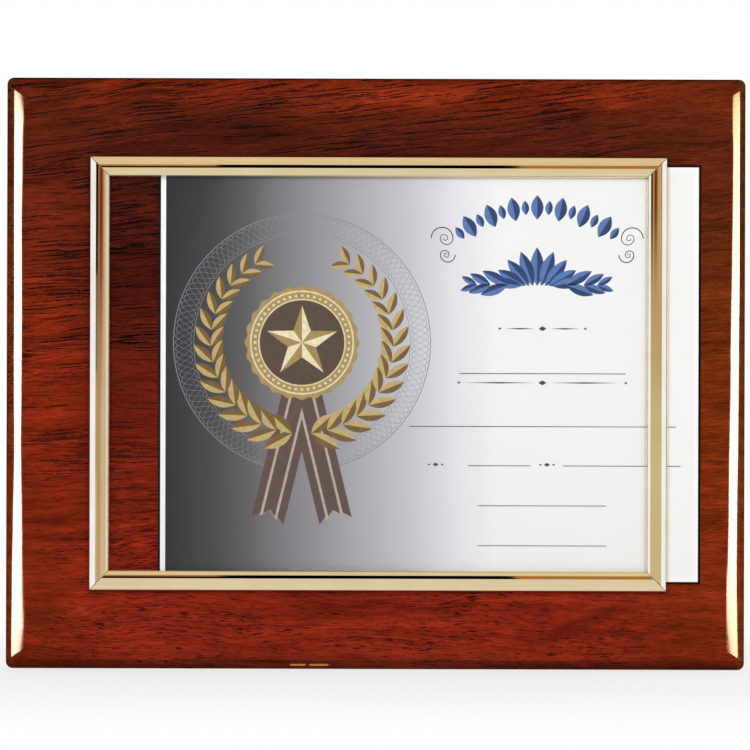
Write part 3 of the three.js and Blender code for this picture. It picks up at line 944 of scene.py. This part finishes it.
upper = at(0, BOARD_HEIGHT / 2 - KEYHOLE_INSET, 0)
beside = at(BOARD_WIDTH / 2 - KEYHOLE_INSET, 0, 0)
keyholes = [upper, beside @ turned(-QUARTER)]
board_cut(screw_places, HEAD_BORE, -1, 8)
board_cut(screw_places, SHANK_BORE, 7, 20)
board_cut(keyholes, SLOT, -1, 5, KEYHOLE_NECK)
board_cut(keyholes, UNDERCUT, 3, 9, KEYHOLE_NECK)
board_cut([upper, beside], ENTRY, -1, 7)
make_piece(board, "plaque", ["rosewood_board"])
seen_by_lacquer.objects.link(board)

# %% [markdown]
# ## Polished gold
# The moulding is bright gold with the fine lines of drawing and polishing along its length, a little
# unevenness in the lacquer and a few pin-prick specks. Metal has no colour but that of its
# reflections, so the base colour is that of gold and the rest comes from the studio.

# %% Gold finish
def polished_gold(name, stretch):
    """Gold with polishing lines along the axis in which the noise is stretched least."""
    material, shader, place = new_finish(name)
    lines = noise(place, 1.0, stretch)
    cloud = noise(place, 45.0)
    colour = ramp(cloud, [(0.3, (0.95, 0.78, 0.42)), (0.7, (1.0, 0.84, 0.47))])
    specks = wire(place.tree, "TexVoronoi", {"Vector": place, "Scale": 46.0, "Randomness": 1.0}, "Distance")
    dots = 1 - rise(specks, 0.006, 0.012)
    fill(shader, {"Base Color": blend(dots * 0.8, colour, (0.16, 0.1, 0.05, 1)), "Metallic": 1.0,
                  "Roughness": lines * 0.03 + (cloud * 0.02 + 0.01), "Normal": bump(lines, 0.12, 0.02 * MM)})
    return material


gold_across = polished_gold("polished_gold_across", (14, 900, 900))
gold_upright = polished_gold("polished_gold_upright", (900, 900, 14))
print(gold_across.name, gold_upright.name)

# %% [markdown]
# ## The rails
# Each rail is a length of moulding with a domed top. Half an ellipse on a low wall is its section, and
# extruding that gives the length. Saw cuts make the mitres and, in a few small steps, the outer corner
# that is filed round. The edges of a mitre are broken a little, so a fine groove shows at each joint.

# %% A length of moulding
RAIL_WIDTH = 10.8 * MM
RAIL_SIDE = 1.4 * MM
RAIL_DOME = 3.2 * MM
SECTION_STEPS = 144


def cut_plane(bm, place, normal, **clear):
    return bmesh.ops.bisect_plane(bm, geom=bm.verts[:] + bm.edges[:] + bm.faces[:], dist=1e-7,
                                  plane_co=place, plane_no=normal, **clear)


def moulding(length):
    """A length along x, with its outer edge at y = 0 and its back at z = 0."""
    bm = bmesh.new()
    disc(bm, RAIL_WIDTH / 2, SECTION_STEPS)
    resize(bm, bm.verts, 1, RAIL_DOME / RAIL_WIDTH * 2, 1)
    cut_plane(bm, (0, 0, 0), (0, 1, 0), clear_inner=True)
    bottom = [e for e in bm.edges if all(abs(v.co.y) < 1e-6 for v in e.verts)]
    wall = bmesh.ops.extrude_edge_only(bm, edges=bottom)["geom"]
    move(bm, only(bmesh.types.BMVert, wall), 0, -RAIL_SIDE, 0)
    bmesh.ops.dissolve_faces(bm, faces=bm.faces[:])
    move(bm, bm.verts, -RAIL_WIDTH / 2, RAIL_SIDE, 0)
    lay_down = Matrix(((0, 0, 1), (1, 0, 0), (0, 1, 0))).to_4x4()
    bmesh.ops.transform(bm, matrix=lay_down, verts=bm.verts)
    move(bm, bm.verts, -length / 2, 0, 0)
    extrude(bm, length, 0, 0)
    return in_order(bm)


# %% Mitres and corners
MITRE_GAP = 0.3 * MM
FRAME_CORNER = 1.6 * MM
BROKEN_EDGE = 0.1 * MM
BROKEN_FROM = math.radians(50)
FILE_STEPS = 6


def saw(bm, place, normal):
    """Cuts the bar off at a plane and closes the cut."""
    cut = cut_plane(bm, place, normal, clear_outer=True)
    bmesh.ops.contextual_create(bm, geom=only(bmesh.types.BMEdge, cut["geom_cut"]))


def mitred_rail(length):
    bm = moulding(length)
    for side in (-1, 1):
        saw(bm, (side * (length - MITRE_GAP) / 2, 0, 0), (side, -1, 0))
        centre = Vector((side * (length / 2 - FRAME_CORNER), -FRAME_CORNER, 0))
        for step in range(FILE_STEPS):
            angle = math.radians(45 + 45 * (step + 0.5) / FILE_STEPS)
            normal = Vector((side * math.cos(angle), math.sin(angle), 0))
            saw(bm, centre + FRAME_CORNER * normal, normal)
    face_out(bm)
    bm = in_order(bm)
    rim = [e for e in bm.edges if e.is_manifold and e.calc_face_angle() > BROKEN_FROM
           and max(v.co.z for v in e.verts) > BROKEN_EDGE]
    bevel(bm, rim, BROKEN_EDGE, 2, "EDGES")
    bm = in_order(bm)
    bmesh.ops.triangulate(bm, faces=[f for f in bm.faces if len(f.verts) > 4])
    return bm


# %% The four rails
CHANNEL_INSET = 7.0 * MM
CHANNEL_WIDTH = 4.8 * MM
CHANNEL_BOTTOM = 0.9 * MM
CHANNEL_TOP = 2.7 * MM
SCREW_HOLE = 1.2 * MM
rail_back = -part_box("top_rail")[1].y


def key_channel(length):
    bm = bmesh.new()
    block(bm, length * 1.1, CHANNEL_WIDTH, CHANNEL_TOP - CHANNEL_BOTTOM)
    move(bm, bm.verts, 0, -CHANNEL_INSET, (CHANNEL_TOP + CHANNEL_BOTTOM) / 2)
    return bm


def gold_rail(side, length, out, turn, screws, finish):
    rail = to_object("gold_rail_" + side, mitred_rail(length), [finish])
    cut_with(rail, key_channel(length))
    if screws:
        holes = bmesh.new()
        for x in screws:
            move(holes, round_bar(holes, SCREW_HOLE, -1 * MM, CHANNEL_TOP, 32), x, -SCREW_INSET, 0)
        cut_with(rail, holes)
    rail.data.transform(upright @ at(FRAME_X, 0, rail_back) @ turned(turn) @ at(0, out, 0))
    make_piece(rail, "plaque", [side + "_rail"])
    seen_by_gold.objects.link(rail)
    seen_by_rail[side].objects.link(rail)


gold_rail("top", FRAME_WIDTH, FRAME_HEIGHT / 2, 0, screws_along, gold_across)
gold_rail("bottom", FRAME_WIDTH, FRAME_HEIGHT / 2, 2 * QUARTER, screws_along, gold_across)
gold_rail("left", FRAME_HEIGHT, FRAME_WIDTH / 2, QUARTER, screws_beside, gold_upright)
gold_rail("right", FRAME_HEIGHT, FRAME_WIDTH / 2, -QUARTER, [], gold_upright)

# %% [markdown]
# ## The certificate
# The sheet is smooth white card. A fine dark line runs round its edge; it is a painted shadow line for
# the shade round the sheet. Then comes a white margin, and inside it a panel that fades from charcoal on
# the left to the white of the paper. Margin and panel are the sheet's own print. All three are painted in
# its finish, by distance from its edges. The ornament on it is generic: it is drawn further down.

# %% Printed card
# Width of the painted shadow line round the sheet's edge.
SHADOW_LINE_WIDTH = 1.15 * MM
MARGIN = 3.76 * MM
FADE_WIDTH = 180 * MM
FADE = [
    (0.02, (0.034, 0.035, 0.04)), (0.16, (0.07, 0.07, 0.074)), (0.26, (0.13, 0.125, 0.13)),
    (0.49, (0.335, 0.33, 0.36)), (0.71, (0.56, 0.57, 0.61)), (0.85, (0.79, 0.785, 0.83)),
    (0.97, (0.91, 0.91, 0.9))]
sheet_low, sheet_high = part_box("certificate")

card_finish, shader, place = new_finish("printed_card")
x, y, z = axes(place)
fibre = noise(place, 700.0, detail=3.0, roughness=0.6)
paper = ramp(fibre, [(0.3, (0.94, 0.94, 0.937)), (0.7, (0.955, 0.955, 0.952))])
panel = ramp(spread(x, sheet_low.x, sheet_low.x + FADE_WIDTH), FADE)
corner = rise(z, 0.02, 0.11) * (1 - rise(x, -0.11, -0.04))
panel = blend(corner * 0.5, panel, (0.03, 0.027, 0.032, 1))
edge = (x - sheet_low.x).smaller(sheet_high.x - x).smaller((sheet_high.z - z).smaller(z - sheet_low.z))
colour = blend(rise(edge, MARGIN - 0.1 * MM, MARGIN + 0.1 * MM), paper, panel)
# Painted shadow line: near black in a thin band along the sheet's edge.
colour = blend(rise(edge, SHADOW_LINE_WIDTH - 0.08 * MM, SHADOW_LINE_WIDTH + 0.08 * MM), (0.004, 0.004, 0.004, 1), colour)
front = 1 - rise(y, sheet_low.y + 0.05 * MM, sheet_low.y + 0.1 * MM)
fill(shader, {"Base Color": blend(front, paper, colour), "Roughness": fibre * 0.2 + 0.45,
              "Specular IOR Level": 0.3, "Normal": bump(fibre, 0.15, 0.03 * MM)})


def give_finish(node, material):
    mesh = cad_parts[node].data
    mesh.materials.clear()
    mesh.materials.append(material)


give_finish("certificate", card_finish)
print("sheet in mm:", [round(v / MM, 2) for v in (*sheet_low, *sheet_high)])

# %% [markdown]
# ## Ink
# Ornament and ruled lines are flat shapes with the thickness of a layer of ink. They are drawn in
# millimetres, face on, and `print_on_sheet` gives them their thickness and lays them on the card, so
# they slide with it. Each further layer lies a hair higher. Ink soaks in unevenly, so every ink has a
# little cloud in its colour.

# %% Ink helpers
INK = 0.02 * MM


def ink(name, colour):
    material, shader, place = new_finish(name)
    cloud = noise(place, 420.0, detail=3.0, roughness=0.6)
    lean = [0.86 * c for c in colour]
    full = [min(1.1 * c, 0.95) for c in colour]
    fill(shader, {"Base Color": ramp(cloud, [(0.3, lean), (0.7, full)]), "Roughness": cloud * 0.2 + 0.4,
                  "Specular IOR Level": 0.3})
    return material


def print_on_sheet(name, bm, layer, inks, x=0, y=0):
    """Prints a drawing with its own middle at x, y on the sheet."""
    move(bm, bm.verts, x, y, 0)
    for face in bm.faces:
        if face.normal.z < 0:
            face.normal_flip()
    resize(bm, bm.verts, MM, MM, MM)
    move(bm, bm.verts, 0, 0, -sheet_low.y - INK)
    extrude(bm, 0, 0, (2 + layer) * INK)
    face_out(bm)
    stand_up(bm)
    piece = to_object(name, bm, inks)
    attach(piece, "sheet")
    print(name, "layer", layer, "faces:", len(piece.data.polygons))


def put_at(bm, verts, x, y, angle, lift):
    place = at(x, y, lift) @ turned(angle)
    bmesh.ops.transform(bm, matrix=place, verts=verts)


def leaf(bm, length, width, x, y, angle, lift=0.0):
    """A pointed leaf in two tones, with its stalk end at x, y. Leaves that overlap differ in lift."""
    verts = disc(bm, 0.5, 20)
    for v in verts:
        v.co.y *= max(1 - 4 * v.co.x ** 2, 0) ** 0.5
    resize(bm, verts, length, width * 1.3, 1)
    move(bm, verts, length / 2, 0, 0)
    face = verts[0].link_faces[0]
    halves = bmesh.ops.bisect_plane(bm, geom=[*face.verts, *face.edges, face], dist=1e-6,
                                    plane_co=(0, 0, 0), plane_no=(0, 1, 0))["geom"]
    for half in only(bmesh.types.BMFace, halves):
        half.material_index = int(half.calc_center_median().y < 0)
    put_at(bm, verts, x, y, angle, lift)


def lozenge(bm, length, width, x, y):
    verts = disc(bm, 0.5, 4)
    resize(bm, verts, length, width, 1)
    move(bm, verts, x, y, 0)


# %% [markdown]
# ### Ruled lines
# The lines to write on, and a small divider where a printed sentence would stand.

# %% Ruled lines and dividers
RULE_WIDTH = 0.42
RULES = ((43.1, 128.8, 0.3), (17.3, 154.6, -27.0), (47.8, 79.9, -47.2), (96.8, 157.2, -47.2),
         (52.9, 119.0, -67.8), (52.9, 119.0, -88.4))
LONG_DIVIDERS = ((85.9, 23.5, 19), (85.9, -4.4, 40))
SHORT_DIVIDERS = ((31, -46.6), (88.4, -46.6))

bm = bmesh.new()
for start, end, y in RULES:
    move(bm, rectangle(bm, end - start, RULE_WIDTH), (start + end) / 2, y, 0)
print_on_sheet("ruled_lines", bm, 0, [ink("rule_ink", (0.035, 0.034, 0.035))])

bm = bmesh.new()
for x, y, reach in LONG_DIVIDERS:
    lozenge(bm, 4.2, 2.6, x, y)
    for side in (-1, 1):
        lozenge(bm, reach - 4, 0.8, x + side * (reach + 4) / 2, y)
        lozenge(bm, 1.8, 1.3, x + side * (reach + 3), y)
for x, y in SHORT_DIVIDERS:
    lozenge(bm, 3.2, 2.0, x, y)
    for side in (-1, 1):
        lozenge(bm, 1.6, 1.1, x + side * 3.4, y)
print_on_sheet("dividers", bm, 0, [ink("divider_ink", (0.07, 0.068, 0.07))])

# %% [markdown]
# ### Heading
# A printed heading would stand at the top right. A garland of blue lozenges bends over a spray of
# leaves there, and a thin scroll closes each end. A scroll is a short edge that spins through half
# turns, each round a new centre and tighter than the one before.

# %% Heading garland
HEAD_X, HEAD_Y = 83.0, 20.0
GARLAND_RADIUS = 66
SPRAY_Y = 45.5

bm = bmesh.new()
for step in range(-7, 8):
    angle = math.radians(90 - step * 5.3)
    size = 12.5 if step % 2 == 0 else 7.5
    stalk = GARLAND_RADIUS - size / 2
    leaf(bm, size, size * 0.4, HEAD_X + stalk * math.cos(angle), HEAD_Y + stalk * math.sin(angle), angle)
for step in range(-4, 5):
    size = 20.0 - 1.2 * abs(step)
    leaf(bm, size, size * 0.27, HEAD_X + 2.0 * step, SPRAY_Y, math.radians(90 - step * 20), 0.004 * abs(step))
for side in (-1, 1):
    for step, (reach, size) in enumerate(((15, 15), (24, 12), (31, 9))):
        for lean in (0.5, -0.35):
            leaf(bm, size, size * 0.28, HEAD_X + side * reach, SPRAY_Y + 0.5,
                 QUARTER - side * (QUARTER - lean), 0.02 + 0.004 * step)
print_on_sheet("heading_garland", bm, 0, [ink("light_blue_ink", (0.11, 0.2, 0.46)),
                                          ink("dark_blue_ink", (0.035, 0.062, 0.17))])

# %% Heading scrolls
SCROLL_WIDTH = 0.55
SCROLL_HALF_TURNS = 4
SCROLL_OUT = 49.0


def scroll(bm, x, y, size, start, side):
    centre = Vector((x, y, 0))
    heading = Vector((math.cos(start), math.sin(start), 0))
    width = SCROLL_WIDTH
    for _ in range(SCROLL_HALF_TURNS):
        ends = [bm.verts.new(centre + heading * (size + w)) for w in (-width / 2, width / 2)]
        bmesh.ops.spin(bm, geom=[bm.edges.new(ends), *ends], cent=centre, axis=(0, 0, 1),
                       angle=side * math.pi, steps=16, use_duplicate=False)
        tighter = size * 0.58
        centre -= heading * (size - tighter)
        heading = -heading
        size, width = tighter, width * 0.86


bm = bmesh.new()
for side in (-1, 1):
    out = HEAD_X + side * SCROLL_OUT
    scroll(bm, out, 70.0, 5.6, math.radians(90 - side * 90), side)
    scroll(bm, out - side * 3.0, 61.5, 3.8, math.radians(270 - side * 90), side)
bmesh.ops.remove_doubles(bm, verts=bm.verts, dist=0.01)
print_on_sheet("heading_scrolls", bm, 0, [ink("scroll_ink", (0.05, 0.05, 0.055))])

# %% [markdown]
# ### Emblem
# On the panel stands a laurel wreath with a star medal and two ribbon tails, in muted gold and brown.
# Behind it lies a guilloche, the band of crossing waves that certificates have. It is drawn from
# circles whose radius swings, and each pair of them is bridged into a fine line.

# %% Guilloche and ribbon
EMBLEM = (-38.0, 16.0)
WAVE_RADIUS, WAVE_SWING, WAVES = 61, 4.2, 30
RIBBON_Y = -20
RIBBON_LENGTH = 74
RIBBON_LEAN = 0.24


def swing_radius(verts, swing, waves, phase=0.0):
    for v in verts:
        v.co *= 1 + swing * math.cos(waves * math.atan2(v.co.y, v.co.x) + phase)


def wave_line(bm, radius, width, swing=0.0, waves=1, phase=0.0):
    rims = set()
    for offset in (-width / 2, width / 2):
        made = bmesh.ops.create_circle(bm, segments=480, radius=radius + offset)["verts"]
        swing_radius(made, swing / radius, waves, phase)
        rims |= {e for v in made for e in v.link_edges}
    bmesh.ops.bridge_loops(bm, edges=list(rims))


bm = bmesh.new()
for step in range(4):
    wave_line(bm, WAVE_RADIUS, 0.3, WAVE_SWING, WAVES, step * QUARTER)
wave_line(bm, WAVE_RADIUS + 5.2, 0.45)
wave_line(bm, WAVE_RADIUS - 5.2, 0.3)
print_on_sheet("guilloche", bm, 0, [ink("guilloche_ink", (0.27, 0.27, 0.29))], *EMBLEM)


def ribbon_tail(bm, width, length, lean, lift, shade):
    """A band that hangs down and ends in a swallow tail. The two tails cross, so they differ in lift."""
    verts = rectangle(bm, width, length, columns=2)
    move(bm, [v for v in verts if abs(v.co.x) < 1e-6 and v.co.y < 0], 0, width * 0.45, 0)
    move(bm, verts, 0, -length / 2, 0)
    for face in {f for v in verts for f in v.link_faces}:
        face.material_index = shade
    put_at(bm, verts, 0, RIBBON_Y, lean, lift)


ribbon_inks = [ink("ribbon_ink", (0.13, 0.085, 0.075)), ink("ribbon_stripe_ink", (0.5, 0.43, 0.33))]
for layer, (width, shade) in enumerate(((17, 0), (9, 1), (6.4, 0)), 1):
    bm = bmesh.new()
    for lean, lift in ((-RIBBON_LEAN, 0), (RIBBON_LEAN, 0.005)):
        ribbon_tail(bm, width, RIBBON_LENGTH - (layer - 1) * 1.5, lean, lift, shade)
    print_on_sheet(f"ribbon_band_{layer}", bm, layer, ribbon_inks, *EMBLEM)

# %% Wreath
WREATH_RADIUS = 47
WREATH_LEAVES = 15

bm = bmesh.new()
for side in (-1, 1):
    for step in range(WREATH_LEAVES):
        polar = math.radians(-84 + step * 10.2)
        x, y = side * WREATH_RADIUS * math.cos(polar), WREATH_RADIUS * math.sin(polar)
        size = 16.5 - step * 0.42
        for lean, reach in ((0.6, 1.0), (-0.62, 0.92)):
            angle = QUARTER + side * (polar - lean)
            leaf(bm, size * reach, size * 0.3, x, y, angle, 0.003 * (step % 3))
print_on_sheet("laurel_wreath", bm, 4, [ink("light_leaf_ink", (0.56, 0.41, 0.17)),
                                        ink("dark_leaf_ink", (0.2, 0.12, 0.042))], *EMBLEM)

# %% Medal
RIM_RADIUS, BEAD_RADIUS, FIELD_RADIUS, STAR_RADIUS = 29, 24.2, 21.8, 19
BEADS = 48
STAR_WAIST = 0.4

bm = bmesh.new()
swing_radius(disc(bm, RIM_RADIUS, 96), 0.025, 24)
print_on_sheet("medal_rim", bm, 5, [ink("medal_gold_ink", (0.42, 0.3, 0.115))], *EMBLEM)
bm = bmesh.new()
wave_line(bm, 26.4, 0.9)
for step in range(BEADS):
    angle = step / BEADS * 2 * math.pi
    move(bm, disc(bm, 0.75, 12), BEAD_RADIUS * math.cos(angle), BEAD_RADIUS * math.sin(angle), 0)
wave_line(bm, 22.2, 0.7)
print_on_sheet("medal_beads", bm, 6, [ink("medal_light_ink", (0.78, 0.68, 0.44))], *EMBLEM)
bm = bmesh.new()
disc(bm, FIELD_RADIUS, 96)
print_on_sheet("medal_field", bm, 6, [ink("medal_brown_ink", (0.11, 0.075, 0.055))], *EMBLEM)


def tenth(place):
    """How many tenths of a turn a place lies from the star's top."""
    return math.atan2(place.x, place.y) * 5 / math.pi


bm = bmesh.new()
star = bmesh.ops.create_circle(bm, cap_ends=True, cap_tris=True, segments=10, radius=STAR_RADIUS)["verts"]
for v in star:
    if v.co.length > 1 and round(tenth(v.co)) % 2 == 1:
        v.co *= STAR_WAIST
for face in bm.faces:
    face.material_index = math.floor(tenth(face.calc_center_median())) % 2
print_on_sheet("medal_star", bm, 7, [ink("star_light_ink", (0.86, 0.76, 0.5)),
                                     ink("star_dark_ink", (0.4, 0.27, 0.1))], *EMBLEM)

# %% [markdown]
# ## The clear cover
# A thin acrylic sheet slides in front of the certificate. It is a rectangle with small round corners and
# polished edges. Acrylic lets the lamps through, which a refracting shader doesn't, so light that is on
# its way to the card meets a transparent shader instead. A real cover also throws some of the card's own
# light back onto it, so a card looks as white under the cover as beside it. A value a little above one
# in the transparent shader stands for that.

# %% Clear cover
COVER_CORNER = 1.5 * MM
POLISHED_EDGE = 0.2 * MM
POLISHED_FROM = math.radians(60)
THROWN_BACK = 1.03

acrylic, shader, place = new_finish("clear_acrylic")
tree = acrylic.node_tree
fill(shader, {"Base Color": WHITE, "Transmission Weight": 1.0, "IOR": 1.49,
              "Roughness": noise(place, 30.0, detail=3.0) * 0.02})
surface = Wire(shader.outputs[0])
clear = wire(tree, "BsdfTransparent", {"Color": (THROWN_BACK, THROWN_BACK, THROWN_BACK, 1)})
for kind in ("Is Diffuse Ray", "Is Shadow Ray"):
    surface = wire(tree, "MixShader", {0: ray(tree, kind), 1: surface, 2: clear})
fill(tree.nodes["Material Output"], {"Surface": surface})

low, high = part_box("clear_cover")
width, thickness, height = high - low
bm = bmesh.new()
bevel(bm, rectangle(bm, width, height), COVER_CORNER, 8, "VERTICES")
extrude(bm, 0, 0, thickness)
move(bm, bm.verts, (low.x + high.x) / 2, (low.z + high.z) / 2, -high.y)
face_out(bm)
bevel(bm, [e for e in bm.edges if e.calc_face_angle() > POLISHED_FROM], POLISHED_EDGE, 3, "EDGES")
stand_up(bm)
cover = to_object("acrylic_cover", bm, [acrylic])
make_piece(cover, "cover", ["clear_cover"])

# %% [markdown]
# ## Strips, keys and screws
# The strips behind the frame are matt and dark. The corner keys and the screws are zinc plated: the
# plating has a faint spangle and a slightly yellow cast. The screws can be seen in their counterbores
# from behind, so they get a rounded head, a cross recess and a thread.

# %% Strip and zinc finishes
matt_strip, shader, place = new_finish("dark_strip")
fleck = noise(place, 500.0, detail=3.0)
fill(shader, {"Base Color": ramp(fleck, [(0.3, (0.017, 0.013, 0.011)), (0.7, (0.032, 0.025, 0.022))]),
              "Roughness": fleck * 0.2 + 0.5, "Normal": bump(fleck, 0.3, 0.05 * MM)})

zinc, shader, place = new_finish("zinc_plating")
spangle = wire(place.tree, "TexVoronoi", {"Vector": place, "Scale": 900.0}, "Color")
cells = wire(place.tree, "SeparateColor", {0: spangle})
fill(shader, {"Base Color": ramp(cells, [(0.0, (0.5, 0.5, 0.47)), (1.0, (0.66, 0.65, 0.6))]),
              "Metallic": 1.0, "Roughness": cells * 0.14 + 0.24})

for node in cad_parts:
    if node.endswith("_strip"):
        give_finish(node, matt_strip)
    elif node.startswith("corner_key"):
        give_finish(node, zinc)
print("strips and keys finished")

# %% Screw model
HEAD_UNDERSIDE = 8.0
SCREW_PROFILE = [
    (0, 6.2), (1.3, 6.24), (1.95, 6.5), (2.25, 6.95), (2.3, 7.4), (2.3, 7.9), (2.2, HEAD_UNDERSIDE),
    (1.0, HEAD_UNDERSIDE), (1.0, 8.6), (0.74, 8.9), (0.74, 22.9), (0, 24.0)]
THREAD_RIDGE = ((0.6, 0, 8.9), (0.98, 0, 9.25), (0.6, 0, 9.6))
THREAD_PITCH = 1.25
THREAD_TURNS = 11
TURN_STEPS = 20
RECESS_TURN = 0.4


def screw_body():
    """Drawn in millimetres along z, with the head towards the back of the board."""
    bm = bmesh.new()
    points = [bm.verts.new((radius, 0, z)) for radius, z in SCREW_PROFILE]
    lines = [bm.edges.new(pair) for pair in zip(points, points[1:])]
    bmesh.ops.spin(bm, geom=points + lines, cent=(0, 0, 0), axis=(0, 0, 1), angle=2 * math.pi, steps=32,
                   use_merge=True, use_duplicate=False)
    bmesh.ops.remove_doubles(bm, verts=bm.verts, dist=1e-4)
    face_out(bm)
    return bm


def add_thread(bm):
    """A ridge with three corners that winds up the shank. It is a shell of its own round the core."""
    core = set(bm.faces)
    corners = [bm.verts.new(place) for place in THREAD_RIDGE]
    sides = [bm.edges.new((corners[i], corners[(i + 1) % 3])) for i in range(3)]
    bm.faces.new(corners)
    made = bmesh.ops.spin(bm, geom=sides + corners, cent=(0, 0, 0), axis=(0, 0, 1),
                          angle=THREAD_TURNS * 2 * math.pi, dvec=(0, 0, THREAD_PITCH / TURN_STEPS),
                          steps=THREAD_TURNS * TURN_STEPS, use_duplicate=False)
    bmesh.ops.contextual_create(bm, geom=only(bmesh.types.BMEdge, made["geom_last"]))
    bmesh.ops.recalc_face_normals(bm, faces=[f for f in bm.faces if f not in core])


model = to_object("screw_model", screw_body(), [zinc])
for turn in (RECESS_TURN, RECESS_TURN + QUARTER):
    recess = bmesh.new()
    blade = block(recess, 2.7, 0.62, 1.6)
    resize(recess, [v for v in blade if v.co.z > 0], 0.45, 0.8, 1)
    move(recess, blade, 0, 0, 6.4)
    bmesh.ops.transform(recess, matrix=turned(turn), verts=blade)
    cut_with(model, recess)
bm = bmesh.new()
bm.from_mesh(model.data)
add_thread(bm)
resize(bm, bm.verts, MM, MM, MM)
stand_up(bm)
bm.to_mesh(model.data)
bm.free()
print("screw faces:", len(model.data.polygons))

# %% Ten screws
SCREW_TURN = 170

for row, count in (("top", 4), ("bottom", 4), ("left", 2)):
    for number in range(1, count + 1):
        node = f"frame_screw_{row}_{number}"
        low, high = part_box(node)
        mesh = model.data.copy()
        mesh.transform(turned(low.x * SCREW_TURN, "Y"))
        mesh.transform(at((low.x + high.x) / 2, 0, (low.z + high.z) / 2))
        screw = show(f"zinc_screw_{row}_{number}", mesh)
        make_piece(screw, "plaque", [node])
bpy.data.objects.remove(model)
